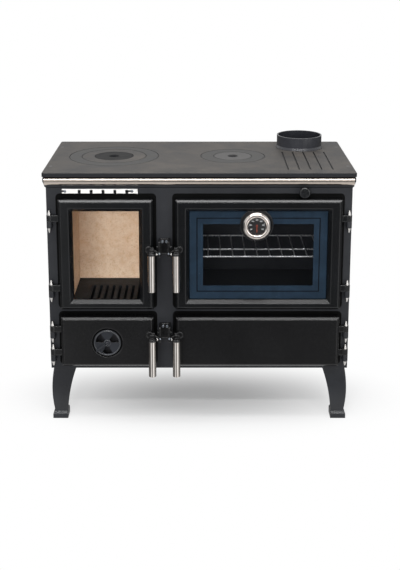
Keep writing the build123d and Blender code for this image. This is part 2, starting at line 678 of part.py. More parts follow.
# ---- latches
def latch_lever():
    """The cast lever: hub and shaft, tongue, and an arm with the handle's cap and spigot."""
    hub_back = DOOR_FRONT - FREE_GAP
    hub_front = hub_back - HUB_LENGTH
    lever = rod_y(HUB_R, 0, 0, hub_front, hub_back)
    lever += rod_y(PIVOT_R, 0, 0, hub_back, DOOR_FRONT + PANEL_THICK)
    tip = PIVOT_FROM_EDGE + (FREE_EDGE_RIGHT - FREE_EDGE_LEFT) / 2 - CATCH_HALF - 1
    angle = math.degrees(math.atan2(TONGUE_RISE, tip))
    reach = math.hypot(TONGUE_RISE, tip)
    bar = Rot(0, angle, 0) * block(0, reach, hub_front + 1, hub_back - 1, -TONGUE_HALF, TONGUE_HALF)
    lever += bar & block(0, tip, hub_front, hub_back, -2 * TONGUE_RISE, TONGUE_RISE)
    nub_x = tip - TONGUE_NUB_R - 1
    lever += rod_y(TONGUE_NUB_R, nub_x, -TONGUE_RISE + 1, hub_front - TONGUE_NUB_H, hub_front + 1)
    axis_y = DOOR_FRONT - HANDLE_STANDOFF
    half = HANDLE_ARM / 2
    lever += block(HANDLE_OFFSET - half, HANDLE_OFFSET + half, axis_y, hub_front + 2,
                   -HANDLE_DROP + HANDLE_CAP_H - half, -HANDLE_DROP + HANDLE_CAP_H + 1)
    lever += block(HANDLE_OFFSET - half, HANDLE_OFFSET + half, hub_front, hub_back,
                   -half, half)
    lever += rod_z(HANDLE_CAP_R, HANDLE_OFFSET, axis_y, -HANDLE_DROP, -HANDLE_DROP + HANDLE_CAP_H)
    spigot = HANDLE_R - HANDLE_WALL - RUNNING
    return lever + rod_z(spigot, HANDLE_OFFSET, axis_y, -HANDLE_DROP - SPIGOT_LENGTH, -HANDLE_DROP)


def latch_handle():
    """The polished tube on the lever's spigot, closed at its lower end."""
    axis_y = DOOR_FRONT - HANDLE_STANDOFF
    low = -HANDLE_DROP - HANDLE_LENGTH
    tube = rod_z(HANDLE_R, HANDLE_OFFSET, axis_y, low, -HANDLE_DROP)
    tube = fillet(tube.edges().sort_by(Axis.Z)[0], HANDLE_WALL / 2)
    return tube - rod_z(HANDLE_R - HANDLE_WALL, HANDLE_OFFSET, axis_y, low + HANDLE_WALL, -HANDLE_DROP)


def catch(z):
    """The catch between two doors: a bridge and two cheeks, each with a lip over a latch's tongue."""
    high = z + CATCH_ABOVE
    low = z - CATCH_BELOW
    front = DOOR_FRONT - CATCH_PROUD
    body = block(POST_X - CATCH_HALF, POST_X + CATCH_HALF, FACE - CAST, FACE, low, high)
    for side in (-1, 1):
        outer = POST_X + side * CATCH_HALF
        inner = outer - side * CATCH_WALL
        body += block(min(outer, inner), max(outer, inner), front, FACE, low, high)
        lip = outer + side * CATCH_LIP
        bottom = z - TONGUE_RISE / 2 + TONGUE_HALF + CATCH_LIP
        body += block(min(inner, lip), max(inner, lip), front, DOOR_FRONT - FREE_GAP,
                      bottom, bottom + CATCH_LIP)
    return body - face_screw_holes()


def face_screw_places():
    """Screws that hold the catches and guide the air slide: X, Y under the head, Z."""
    places = []
    for pivot_z in (FIRE.pivot[1], ASH.pivot[1]):
        for side in (-1, 1):
            x = POST_X + side * CATCH_SCREW_SPREAD
            places.append((x, FACE - CAST, pivot_z + CATCH_ABOVE / 2 + 2))
    for x in SLIDE_STUDS:
        places.append((x, FACE - SLIDE_THICK - 2 * FREE_GAP, SLIDE_Z))
    return places


def face_screw_holes():
    """The holes of those screws, through catches and cast front."""
    return [rod_y(FACE_SCREW_R + RUNNING, x, z, y, INSIDE) for x, y, z in face_screw_places()]


def face_screw(x, y, z):
    """A round-headed screw."""
    head = rod_y(FACE_SCREW_HEAD_R, x, z, y - FACE_SCREW_HEAD_H, y)
    head = fillet(head.edges().sort_by(Axis.Y)[0], FACE_SCREW_HEAD_H / 2)
    return head + rod_y(FACE_SCREW_R, x, z, y, y + FACE_SCREW_LENGTH)


# ---- air controls
def air_slide():
    """The polished strip whose notches line up with the air holes."""
    left = SLIDE_INSET - HALF
    right = left + SLIDE_LENGTH
    low = SLIDE_Z - SLIDE_HEIGHT / 2
    high = low + SLIDE_HEIGHT
    y1 = FACE - FREE_GAP
    y0 = y1 - SLIDE_THICK
    strip = block(left, right, y0, y1, low, high)
    strip += block(right - SLIDE_THICK, right, y0 - SLIDE_TAB, y1, low, high)
    for x in AIR_HOLE_XS:
        strip -= block(x - AIR_HOLE_WIDTH / 2, x + AIR_HOLE_WIDTH / 2, y0, y1,
                       low, SLIDE_Z + AIR_HOLE_HEIGHT / 2 - 1)
    for x in SLIDE_STUDS:
        slot = SlotCenterToCenter(SLIDE_TRAVEL, 2 * (FACE_SCREW_R + FREE_GAP))
        strip -= Pos(x - SLIDE_TRAVEL / 2, y1, SLIDE_Z) * extrude(Plane.XZ * slot, SLIDE_THICK)
    return strip


def wheel_centre():
    """The air wheel's axis on the ash door."""
    return WHEEL_FROM_HINGE, ASH.top - WHEEL_DROP


def wheel_sector(y0, y1, angle):
    """One opening of the air wheel, as a sector of a ring about the Y axis."""
    half = math.radians(WHEEL_SECTOR_ANGLE / 2)
    far = 2 * WHEEL_SECTOR_OUT
    reach = far * math.cos(half)
    rise = far * math.sin(half)
    wedge = Polygon((0, 0), (reach, rise), (reach, -rise), align=None)
    face = (Circle(WHEEL_SECTOR_OUT) - Circle(WHEEL_SECTOR_IN)) & wedge
    sector = extrude(Plane.XZ * (Rot(0, 0, angle) * face), y1 - y0)
    return Pos(0, y1, 0) * sector


def air_wheel():
    """The disc that turns over the ash door's air openings."""
    x, z = wheel_centre()
    y1 = DOOR_FRONT + WHEEL_RECESS - FREE_GAP
    y0 = y1 - WHEEL_THICK
    disc = rod_y(WHEEL_R, 0, 0, y0, y1)
    disc = chamfer(disc.edges().sort_by(Axis.Y)[0], WHEEL_THICK / 4)
    for angle in WHEEL_SECTORS:
        disc -= wheel_sector(y0, y1, angle)
    disc += rod_y(WHEEL_HUB_R, 0, 0, y0 - 1, y1)
    half = WHEEL_TAB_WIDTH / 2
    tab = block(WHEEL_HUB_R, WHEEL_R, y0 - WHEEL_TAB_PROUD, y0 + 1, -half, half)
    tab = chamfer(tab.edges().filter_by(Axis.X).group_by(Axis.Y)[0], WHEEL_TAB_WIDTH / 4)
    disc += Rot(0, -WHEEL_TAB_ANGLE, 0) * tab
    disc -= rod_y(WHEEL_PIN_R + RUNNING, 0, 0, y0 - WHEEL_TAB_PROUD, y1)
    return ASH.place(Pos(x, 0, z) * disc)


def air_wheel_rivet():
    """The rivet that the air wheel turns on."""
    x, z = wheel_centre()
    top = DOOR_FRONT + WHEEL_RECESS - 2 * FREE_GAP - WHEEL_THICK - 1
    pin = rod_y(WHEEL_PIN_R, 0, 0, top, DOOR_FRONT + PANEL_THICK)
    head = rod_y(WHEEL_PIN_R + 1.5, 0, 0, top - WHEEL_PIN_HEAD_H, top)
    head = fillet(head.edges().sort_by(Axis.Y)[0], WHEEL_PIN_HEAD_H / 2)
    return ASH.place(Pos(x, 0, z) * (pin + head))


def ash_door_panel():
    """The ash door with the air wheel's recess and openings."""
    x, z = wheel_centre()
    cut = rod_y(WHEEL_RECESS_R, 0, 0, DOOR_FRONT, DOOR_FRONT + WHEEL_RECESS)
    for angle in WHEEL_SECTORS:
        cut += wheel_sector(DOOR_FRONT, DOOR_FRONT + PANEL_THICK, angle)
    cut += rod_y(WHEEL_PIN_R, 0, 0, DOOR_FRONT, DOOR_FRONT + PANEL_THICK)
    return door_casting(ASH, PANEL_THICK) - Pos(x, 0, z) * cut


# ---- thermometer
def thermo_front():
    """Y of the tab's front, which the thermometer's case stands on."""
    return DOOR_FRONT + GLASS_SEAT - THERMO_TAB_THICK


def thermo_tab():
    """The round tab that hangs from the oven door's frame before the glass."""
    seat = DOOR_FRONT + GLASS_SEAT
    top = OVEN.top - WINDOW_TOP - WINDOW_BEVEL
    tab = rod_y(THERMO_TAB_R, THERMO_FROM_HINGE, THERMO_Z, thermo_front(), seat - FREE_GAP)
    tab &= block(0, OVEN.far, thermo_front(), seat, 0, top + 1)
    return tab - rod_y(THERMO_STEM_R + RUNNING, THERMO_FROM_HINGE, THERMO_Z, DOOR_FRONT, seat)


def thermometer_case():
    """The turned case with its rounded bezel and stem."""
    y1 = thermo_front()
    y0 = y1 - THERMO_DEPTH
    case = rod_y(THERMO_R, 0, 0, y0, y1)
    case = fillet(case.edges().sort_by(Axis.Y)[0], THERMO_FACE_DEPTH)
    flare = Cone(THERMO_FACE_R, THERMO_FACE_R + THERMO_FLARE, THERMO_FACE_DEPTH)
    case -= Pos(0, y0 + THERMO_FACE_DEPTH / 2, 0) * Rot(90, 0, 0) * flare
    case += rod_y(THERMO_STEM_R, 0, 0, y1, y1 + THERMO_STEM_LENGTH)
    return Pos(THERMO_FROM_HINGE, 0, THERMO_Z) * case


def thermometer_dial():
    """The dial at the bottom of the bezel."""
    y1 = thermo_front() - THERMO_DEPTH + THERMO_FACE_DEPTH
    dial = rod_y(THERMO_FACE_R - FREE_GAP, 0, 0, y1 - THERMO_DIAL_THICK, y1)
    dial += rod_y(POINTER_PIN_R, 0, 0, y1 - THERMO_DIAL_THICK - 2, y1)
    return Pos(THERMO_FROM_HINGE, 0, THERMO_Z) * dial


def thermometer_pointer():
    """The pointer, which hangs at the low end of the scale when the oven is cold."""
    y1 = thermo_front() - THERMO_DEPTH + THERMO_FACE_DEPTH - THERMO_DIAL_THICK - FREE_GAP
    y0 = y1 - POINTER_THICK
    pointer = rod_y(POINTER_PIN_R * 2, 0, 0, y0, y1)
    half = POINTER_WIDTH / 2
    pointer += block(-half, half, y0, y1, -POINTER_LENGTH, POINTER_PIN_R * 3)
    pointer -= rod_y(POINTER_PIN_R + RUNNING, 0, 0, y0, y1)
    return Pos(THERMO_FROM_HINGE, 0, THERMO_Z) * pointer


# ---- fire chamber
def casing():
    """The sheet casing round the fire chamber's boards, open at the front and over the oven."""
    left = FIRE_LEFT - BOARD_THICK - CASING_THICK
    right = FIRE_RIGHT + BOARD_THICK + CASING_THICK
    back = CHAMBER_END + BOARD_THICK + CASING_THICK
    low = DECK_BOTTOM + DECK_THICK + FLOOR_THICK
    outer = block(left, right, INSIDE, back, low, BOARD_TOP)
    return outer - block(left + CASING_THICK, right - CASING_THICK, INSIDE, back - CASING_THICK, low, BOARD_TOP)


def fire_boards():
    """The three boards that line the fire chamber."""
    low = DECK_BOTTOM + DECK_THICK + FLOOR_THICK
    left = block(FIRE_LEFT - BOARD_THICK, FIRE_LEFT, INSIDE, CHAMBER_END, low, BOARD_TOP)
    right = block(FIRE_RIGHT, FIRE_RIGHT + BOARD_THICK, INSIDE, CHAMBER_END, low, BOARD_TOP)
    back = block(FIRE_LEFT - BOARD_THICK, FIRE_RIGHT + BOARD_THICK, CHAMBER_END, CHAMBER_END + BOARD_THICK,
                 low, BOARD_TOP)
    return {"fire_side_boards": [left, right], "fire_back_board": back}


def grate_hole(grow, z0, z1):
    """The grate's place in the floor, grown by a clearance."""
    return block(GRATE_LEFT - grow, GRATE_LEFT + GRATE_WIDTH + grow, FRONT + GRATE_FRONT - grow,
                 FRONT + GRATE_FRONT + GRATE_LENGTH + grow, z0, z1)


def fire_floor():
    """The cast floor of the fire chamber with a ledge round the grate's hole."""
    low = DECK_BOTTOM + DECK_THICK
    high = low + FLOOR_THICK
    rim = BOARD_THICK + CASING_THICK
    floor = block(FIRE_LEFT - rim, FIRE_RIGHT + rim, INSIDE, CHAMBER_END + rim, low, high)
    floor -= grate_hole(GRATE_CLEARANCE, low + FLOOR_THICK / 2, high)
    return floor - grate_hole(-GRATE_LEDGE, low, high)


def grate():
    """The cast grate: a plate with long slots that hangs on the floor's ledge."""
    high = DECK_BOTTOM + DECK_THICK + FLOOR_THICK
    step = high - FLOOR_THICK / 2
    plate = grate_hole(0, step, high) + grate_hole(-GRATE_LEDGE - GRATE_CLEARANCE, high - GRATE_THICK, step)
    pitch = GRATE_WIDTH / GRATE_SLOTS
    middle_y = FRONT + GRATE_FRONT + GRATE_LENGTH / 2
    for i in range(GRATE_SLOTS):
        slot = SlotOverall(GRATE_SLOT_LENGTH, GRATE_SLOT_WIDTH, rotation=90)
        place = Pos(GRATE_LEFT + (i + 0.5) * pitch, middle_y, high - GRATE_THICK)
        plate -= place * extrude(slot, GRATE_THICK)
    return plate


# ---- ash chamber
def ash_box():
    """The sheet box under the grate: floor, sides and back up to the deck."""
    left = HINGE_EDGE_LEFT + DOOR_OVERLAP - SHEET
    right = FREE_EDGE_LEFT - DOOR_OVERLAP + SHEET
    back = CHAMBER_END + SHEET
    outer = block(left, right, INSIDE, back, ASH_FLOOR - SHEET, DECK_BOTTOM)
    return outer - block(left + SHEET, right - SHEET, INSIDE, back - SHEET, ASH_FLOOR, DECK_BOTTOM)


def ash_pan():
    """The loose pan with a folded pull at its front."""
    left = HINGE_EDGE_LEFT + DOOR_OVERLAP + PAN_GAP
    right = FREE_EDGE_LEFT - DOOR_OVERLAP - PAN_GAP
    front = FRONT + PAN_FRONT
    low = ASH_FLOOR
    back = front + PAN_LENGTH
    rim = low + PAN_HEIGHT
    pan = block(left, right, front, back, low, rim)
    pan -= block(left + SHEET, right - SHEET, front + SHEET, back - SHEET, low + SHEET, rim)
    x0 = (left + right - PAN_PULL_WIDTH) / 2
    x1 = x0 + PAN_PULL_WIDTH
    high = rim - PAN_PULL_HEIGHT / 2
    pull = block(x0, x1, front - PAN_PULL_REACH - SHEET, front, high - PAN_PULL_HEIGHT, high)
    pull -= block(x0, x1, front - PAN_PULL_REACH, front, high - PAN_PULL_HEIGHT, high - SHEET)
    return pan + pull


# ---- oven
def oven_box():
    """The sheet oven: a box open at the front with a flange and three pairs of runners."""
    outer = block(OVEN_LEFT - SHEET, OVEN_RIGHT + SHEET, INSIDE, CHAMBER_END + SHEET,
                  OVEN_BOTTOM - SHEET, OVEN_TOP + SHEET)
    outer += block(OVEN_LEFT - OVEN_FLANGE, OVEN_RIGHT + OVEN_FLANGE, INSIDE, INSIDE + SHEET,
                   OVEN_BOTTOM - OVEN_FLANGE, OVEN_TOP + OVEN_FLANGE)
    box = outer - block(OVEN_LEFT, OVEN_RIGHT, INSIDE, CHAMBER_END, OVEN_BOTTOM, OVEN_TOP)
    top = RACK_Z - RACK_BAR_R
    for level in RUNNER_LEVELS:
        z1 = top + level
        for left in (OVEN_LEFT, OVEN_RIGHT - RUNNER_WIDTH):
            box += block(left, left + RUNNER_WIDTH, INSIDE + CAST, CHAMBER_END, z1 - RUNNER_THICK, z1)
    for x in (OVEN_LEFT + 2 * OVEN_FLANGE, OVEN_RIGHT - 2 * OVEN_FLANGE):
        box += block(x - OVEN_FLANGE, x + OVEN_FLANGE, INSIDE, INSIDE + OVEN_STAND_LENGTH,
                     DECK_BOTTOM + DECK_THICK, OVEN_BOTTOM - SHEET)
    return box


def oven_rack():
    """The wire rack: a frame of thick bars with thin wires from front to back."""
    left = OVEN_LEFT + RACK_END_GAP
    right = OVEN_RIGHT - RACK_END_GAP
    front = FRONT + RACK_FRONT
    back = front + RACK_DEPTH
    rack = rod_x(RACK_BAR_R, front, RACK_Z, left, right)
    rack += rod_x(RACK_BAR_R, back, RACK_Z, left, right)
    rack += rod_x(RACK_BAR_R, front + RACK_DEPTH / 3, RACK_Z, left, right)
    for x in (left + RACK_BAR_R, right - RACK_BAR_R):
        rack += rod_y(RACK_BAR_R, x, RACK_Z, front, back)
    pitch = (right - left - 2 * RACK_MARGIN) / (RACK_WIRES - 1)
    for i in range(RACK_WIRES):
        x = left + RACK_MARGIN + i * pitch
        rack += rod_y(RACK_WIRE_R, x, RACK_Z + RACK_WIRE_R, front, back)
    return rack


# ---- flue damper
def flue_box():
    """The duct between flue collar and back wall, with the window that the damper closes."""
    front = CHAMBER_END + 2 * SHEET
    left = FLUE_X - FLUE_BOX_WIDTH / 2
    right = left + FLUE_BOX_WIDTH
    low = OVEN_TOP - FLUE_BOX_DROP
    box = block(left, right, front, BACK - SHEET, low, BODY_TOP)
    box += block(left, right, front, BACK - FRAME_LEDGE, BODY_TOP, PLATE_BOTTOM)
    box -= block(left + SHEET, right - SHEET, front + SHEET, BACK, low, PLATE_BOTTOM)
    return box - block(DAMPER_X - FLUE_WINDOW_W / 2, DAMPER_X + FLUE_WINDOW_W / 2, front, front + SHEET,
                       DAMPER_Z - FLUE_WINDOW_H / 2, DAMPER_Z + FLUE_WINDOW_H / 2)


def damper():
    """The damper plate on its rod; the plate slides on the oven's top."""
    back = CHAMBER_END + 2 * SHEET - FREE_GAP
    plate = block(DAMPER_X - DAMPER_WIDTH / 2, DAMPER_X + DAMPER_WIDTH / 2, back - DAMPER_THICK, back,
                  OVEN_TOP + SHEET, BODY_TOP + DAMPER_RISE)
    return plate + rod_y(DAMPER_ROD_R, DAMPER_X, DAMPER_Z, FACE - KNOB_FROM_FACE, back)


def damper_knob():
    """The turned knob on the rod's front end."""
    y1 = FACE - KNOB_FROM_FACE
    knob = rod_y(KNOB_R, DAMPER_X, DAMPER_Z, y1 - KNOB_DEPTH, y1)
    return fillet(knob.edges(), KNOB_EDGE)


# ---- legs
def leg_side():
    """A leg's outline, X inwards from the body's side and Y up."""
    outer_top = (LEG_INSET, LEG_HEIGHT)
    outer_bow = (LEG_INSET - LEG_BOW, LEG_BOW_Z)
    outer_neck = (LEG_INSET, LEG_NECK_Z)
    foot_out = (LEG_INSET - LEG_BOW, FOOT_HEIGHT)
    inner_top = (LEG_INSET + LEG_TOP, LEG_HEIGHT)
    inner_bow = (LEG_INSET + LEG_MIDDLE, LEG_BOW_Z)
    inner_neck = (LEG_INSET + LEG_NECK, LEG_NECK_Z)
    foot_in = (LEG_INSET - LEG_BOW + LEG_FOOT, FOOT_HEIGHT)
    edges = ThreePointArc(outer_top, outer_bow, outer_neck)
    edges += Line(outer_neck, foot_out)
    edges += Line(foot_out, (foot_out[0], 0))
    edges += Line((foot_out[0], 0), (foot_in[0], 0))
    edges += Line((foot_in[0], 0), foot_in)
    edges += Line(foot_in, inner_neck)
    edges += ThreePointArc(inner_neck, inner_bow, inner_top)
    edges += Line(inner_top, outer_top)
    return make_face(edges)


def leg():
    """A hollow cast leg for the front left corner of a body whose corner is at the origin."""
    reach = LEG_INSET + LEG_TOP + CAST
    front_view = extrude(Plane.XZ * leg_side(), -reach)
    side_view = extrude(Plane.YZ * leg_side(), reach)
    solid = front_view & side_view
    hollow = Pos(CAST, CAST, 0) * solid
    hollow &= block(0, 2 * reach, 0, 2 * reach, LEG_NECK_Z, LEG_HEIGHT - LEG_FLANGE)
    solid -= hollow
    for x, y in leg_bolt_offsets():
        solid -= rod_z(LEG_BOLT_R + RUNNING, x, y, LEG_HEIGHT - LEG_FLANGE, LEG_HEIGHT)
    return solid


def leg_bolt_offsets():
    """Two bolts in each leg's flange, from the body's corner."""
    near = LEG_INSET + LEG_TOP / 2 - LEG_BOLT_HEAD_R
    far = near + 2.5 * LEG_BOLT_HEAD_R
    return [(near, far), (far, near)]


def leg_corners():
    """Each leg's name, corner and the directions from the corner to the middle."""
    return {
        "front_left_leg": (-HALF, FACE, 1, 1),
        "front_right_leg": (HALF, FACE, -1, 1),
        "back_left_leg": (-HALF, BACK, 1, -1),
        "back_right_leg": (HALF, BACK, -1, -1),
    }


def leg_bolt_places():
    """Every leg bolt's place."""
    corners = leg_corners().values()
    return [(x + sx * dx, y + sy * dy) for x, y, sx, sy in corners for dx, dy in leg_bolt_offsets()]


def placed_leg(x, y, sx, sy):
    """A leg turned for its corner."""
    shape = leg()
    if sx < 0:
        shape = mirror(shape, about=Plane.YZ)
    if sy < 0:
        shape = mirror(shape, about=Plane.XZ)
    return Pos(x, y, 0) * shape


def leg_bolt(x, y):
    """A bolt from inside the body into a leg's flange."""
    top = LEG_HEIGHT + SHEET
    head = Pos(x, y, top) * extrude(RegularPolygon(LEG_BOLT_HEAD_R, 6), LEG_BOLT_HEAD_H)
    return head + rod_z(LEG_BOLT_R, x, y, LEG_HEIGHT - LEG_FLANGE, top)


def build():
    """Writes every node."""
    os.makedirs("parts", exist_ok=True)
    write("cooktop_plate", cooktop_plate())
    write("left_outer_ring", hob_ring(LEFT_OUTER_R, LEFT_MIDDLE_R, LEFT_HOB_X))
    write("left_middle_ring", hob_ring(LEFT_MIDDLE_R, LEFT_COVER_R, LEFT_HOB_X))
    write("left_cover", hob_cover(LEFT_COVER_R, LEFT_HOB_X))
    write("right_ring", hob_ring(RIGHT_RING_R, RIGHT_COVER_R, RIGHT_HOB_X))
    write("right_cover", hob_cover(RIGHT_COVER_R, RIGHT_HOB_X))
    write("plate_screws", [plate_screw(x, y) for x, y in plate_screw_places()])
    write("flue_collar", flue_collar())
    write("top_frame", top_frame())
    write("front_rail", front_rail())
    write("front_frame", front_frame())
    write("body_shell", body_shell())
    write("bottom_panel", bottom_panel())
    write("deck_plate", deck_plate())
    write("casing", casing())
    for name, board in fire_boards().items():
        write(name, board)
    write("fire_floor", fire_floor())
    write("grate", grate())
    write("ash_box", ash_box())
    write("ash_pan", ash_pan())
    write("oven_box", oven_box())
    write("oven_rack", oven_rack())
    write("flue_box", flue_box())
    write("damper", damper())
    write("damper_knob", damper_knob())
    for name, corner in leg_corners().items():
        write(name, placed_leg(*corner))
    write("leg_bolts", [leg_bolt(x, y) for x, y in leg_bolt_places()])
    write("hinge_pins", [hinge_pin(door, drop) for door in DOORS.values() for drop in door.lug_drops])
    write("catches", [catch(FIRE.pivot[1]), catch(ASH.pivot[1])])
    write("face_screws", [face_screw(*place) for place in face_screw_places()])
    write("air_slide", air_slide())
    write("air_wheel", air_wheel())
    write("air_wheel_rivet", air_wheel_rivet())
    write("fire_door_frame", FIRE.place(windowed_door(FIRE)))
    write("oven_door_frame", OVEN.place(windowed_door(OVEN) + thermo_tab()))
    write("ash_door_panel", ASH.place(ash_door_panel()))
    write("soot_door_panel", SOOT.place(door_casting(SOOT, PANEL_THICK)))
    write("fire_door_glass", FIRE.place(door_glass(FIRE)))
    write("oven_door_glass", OVEN.place(oven_glass()))
    write("fire_door_clips", door_clips(FIRE))
    write("oven_door_clips", door_clips(OVEN))
    for name, door in DOORS.items():
        write(f"{name}_door_seal", door_seal(door))
        pivot_x, pivot_z = door.pivot
        write(f"{name}_latch_lever", door.place(Pos(pivot_x, 0, pivot_z) * latch_lever()))
        write(f"{name}_latch_handle", door.place(Pos(pivot_x, 0, pivot_z) * latch_handle()))
    write("thermometer_case", OVEN.place(thermometer_case()))
    write("thermometer_dial", OVEN.place(thermometer_dial()))
    write("thermometer_pointer", OVEN.place(thermometer_pointer()))


build()
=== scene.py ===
"""Wood cookstove: finishes of the castings, sheets and panes, the pieces that a step file leaves plain, and a studio.

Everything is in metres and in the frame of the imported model: X to the right, Y to the back, Z up.
Sizes in the classes are in millimetres, as on a drawing, and MM turns them to metres.
"""

import json
import logging
import math
from dataclasses import dataclass
from enum import Enum

import bpy
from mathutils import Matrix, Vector

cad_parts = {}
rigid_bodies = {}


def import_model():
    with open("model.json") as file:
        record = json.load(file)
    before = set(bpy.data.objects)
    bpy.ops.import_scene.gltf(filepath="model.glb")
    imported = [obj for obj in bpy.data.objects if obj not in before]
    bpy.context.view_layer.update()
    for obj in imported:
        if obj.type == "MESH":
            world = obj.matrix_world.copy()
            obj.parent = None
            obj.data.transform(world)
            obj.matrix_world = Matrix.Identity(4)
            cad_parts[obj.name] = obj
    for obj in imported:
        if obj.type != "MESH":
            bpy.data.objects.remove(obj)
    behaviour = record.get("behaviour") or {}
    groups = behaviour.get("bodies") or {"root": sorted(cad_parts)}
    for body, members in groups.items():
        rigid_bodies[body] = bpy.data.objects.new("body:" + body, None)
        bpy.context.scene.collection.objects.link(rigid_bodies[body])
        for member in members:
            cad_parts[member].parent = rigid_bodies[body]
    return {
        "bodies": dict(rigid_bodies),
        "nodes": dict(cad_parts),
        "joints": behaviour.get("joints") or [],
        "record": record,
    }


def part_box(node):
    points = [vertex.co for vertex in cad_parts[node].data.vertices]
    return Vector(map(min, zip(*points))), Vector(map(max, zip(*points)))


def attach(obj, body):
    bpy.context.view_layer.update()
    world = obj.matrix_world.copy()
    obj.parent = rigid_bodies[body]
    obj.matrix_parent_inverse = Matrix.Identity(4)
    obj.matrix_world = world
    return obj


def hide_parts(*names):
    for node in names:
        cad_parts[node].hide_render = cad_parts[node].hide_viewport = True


MM = 0.001
NOISE_SPAN = (0.3, 0.7)         # nearly all values of a noise lie between these
WAVE_SCALE = 0.159              # the Scale at which a wave's bands are one metre wide
DOORS = ("fire", "oven", "ash", "soot")
log = logging.getLogger("cookstove")

Node = bpy.types.Node
Piece = bpy.types.Object
Socket = bpy.types.NodeSocket


class Axis(Enum):
    """The direction in which a surface was drawn, ground or polished."""

    X = 0
    Y = 1
    Z = 2


# ---- colours and nodes
def colour(value: str | float) -> tuple[float, float, float, float]:
    """Turns an sRGB hex colour, or a linear grey, into linear values.

    Args:
        value: Six hex digits with a leading #, or the grey.

    Returns:
        Red, green, blue and alpha, linear.
    """
    if not isinstance(value, str):
        return (value, value, value, 1.0)
    parts = [int(value[i:i + 2], 16) / 255 for i in (1, 3, 5)]
    return (*(c / 12.92 if c <= 0.04045 else ((c + 0.055) / 1.055) ** 2.4 for c in parts), 1.0)


def per_metre(size_mm: float) -> float:
    """The Scale of a texture whose features are about size_mm across."""
    return 1 / MM / size_mm


class Net:
    """A material's or world's node tree, with short ways to add what the finishes, floor and world need."""

    def __init__(self, owner: bpy.types.Material | bpy.types.World) -> None:
        """Empties the tree and adds its coordinates.

        Args:
            owner: What the tree belongs to.
        """
        owner.use_nodes = True
        self.tree = owner.node_tree
        self.tree.nodes.clear()
        places = self.add_node("TexCoord").outputs
        self.spots, self.facing, self.toward = places["Object"], places["Normal"], places["Generated"]

    def add_node(self, kind: str, inputs: dict | None = None, **settings: object) -> Node:
        """Adds one node, sets it up and links it.

        Args:
            kind: The node's type name, without the ShaderNode before it.
            inputs: Socket names or numbers with a value, a hex colour, a socket or node to link from, or None.
            settings: Properties of the node; ramp holds a colour ramp's stops.

        Returns:
            The new node.
        """
        node = self.tree.nodes.new("ShaderNode" + kind)
        for key, value in settings.items():
            if key == "ramp":
                stops = node.color_ramp.elements
                while len(stops) < len(value):
                    stops.new(1.0)
                for stop, (place, shade) in zip(stops, value):
                    stop.position, stop.color = place, colour(shade)
            else:
                setattr(node, key, value)
        for key, value in (inputs or {}).items():
            if isinstance(value, Node):
                value = value.outputs[0]
            if isinstance(value, Socket):
                self.tree.links.new(value, node.inputs[key])
            elif value is not None:
                node.inputs[key].default_value = colour(value) if isinstance(value, str) else value
        return node

    def noise(self, size_mm: float, detail: float, spots: Socket | None = None, **more: float) -> Socket:
        """A noise with features about size_mm across; more holds its Roughness or Distortion."""
        return self.add_node("TexNoise", {
            "Vector": spots or self.spots, "Scale": per_metre(size_mm), "Detail": detail, **more}).outputs["Fac"]

    def cells(self, size_mm: float) -> Node:
        """A cell pattern with cells about size_mm across."""
        return self.add_node("TexVoronoi", {"Vector": self.spots, "Scale": per_metre(size_mm)})

    def ramp(self, value: Socket, *stops: tuple[float, str | float]) -> Socket:
        """A colour that follows the value through stops of a place and a colour."""
        return self.add_node("ValToRGB", {"Fac": value}, ramp=stops).outputs["Color"]

    def remap(self, value: Socket, span: tuple[float, float], first: float = 0.0, last: float = 1.0,
              soft: bool = False) -> Socket:
        """Stretches a span of a value over another and holds it beyond the ends.

        Args:
            value: What is read.
            span: Where the change starts and ends.
            first: The result up to the start.
            last: The result from the end on.
            soft: True for a change that starts and ends gently.

        Returns:
            The result.
        """
        ends = {"From Min": span[0], "From Max": span[1], "To Min": first, "To Max": last}
        return self.add_node("MapRange", {"Value": value, **ends},
                             interpolation_type="SMOOTHSTEP" if soft else "LINEAR").outputs["Result"]

    def calc(self, operation: str, first: Socket | float, second: Socket | float) -> Socket:
        """The result of a Math node on two values."""
        return self.add_node("Math", {0: first, 1: second}, operation=operation).outputs[0]

    def mixed(self, share: Socket, first: Socket | str, second: Socket | str) -> Socket:
        """Two colours mixed by the second one's share."""
        return self.add_node("Mix", {"Factor": share, 6: first, 7: second}, data_type="RGBA").outputs[2]

    def part_of(self, vector: Socket, axis: str) -> Socket:
        """A vector's part along X, Y or Z."""
        return self.add_node("SeparateXYZ", {"Vector": vector}).outputs[axis]

    def drawn_out(self, run: Axis, squeeze: float) -> Socket:
        """Object coordinates in which a pattern is drawn out along one axis by a Scale below 1."""
        scale = tuple(squeeze if axis is run else 1.0 for axis in Axis)
        return self.add_node("Mapping", {"Vector": self.spots, "Scale": scale}).outputs["Vector"]

    def bumped(self, height: Socket, depth_mm: float, strength: float, normal: Socket | None = None) -> Socket:
        """The normal of a surface with a relief.

        Args:
            height: The relief, from 0 to 1.
            depth_mm: Its depth.
            strength: How much of it is shown.
            normal: The normal that it is added to, when not the surface's own.

        Returns:
            The new normal.
        """
        return self.add_node("Bump", {"Height": height, "Distance": depth_mm * MM, "Strength": strength,
                                      "Normal": normal}).outputs["Normal"]

    def skin(self, shade: Socket, roughness: Socket | float, specular: float = 0.5,
             normal: Socket | None = None, **more: float) -> Node:
        """The surface's shader.

        Args:
            shade: Its colour.
            roughness: Its roughness.
            specular: Strength of its reflection.
            normal: Its normal, when not the mesh's own.
            more: Values of other sockets by name.

        Returns:
            The shader node.
        """
        return self.add_node("BsdfPrincipled", {"Base Color": shade, "Roughness": roughness, "Normal": normal,
                                                "Specular IOR Level": specular, **more})

    def seen(self) -> Socket:
        """1 for what the camera sees itself or through glass, and 0 for all other light."""
        path = self.add_node("LightPath").outputs
        return self.calc("MAXIMUM", path["Is Camera Ray"], path["Is Transmission Ray"])


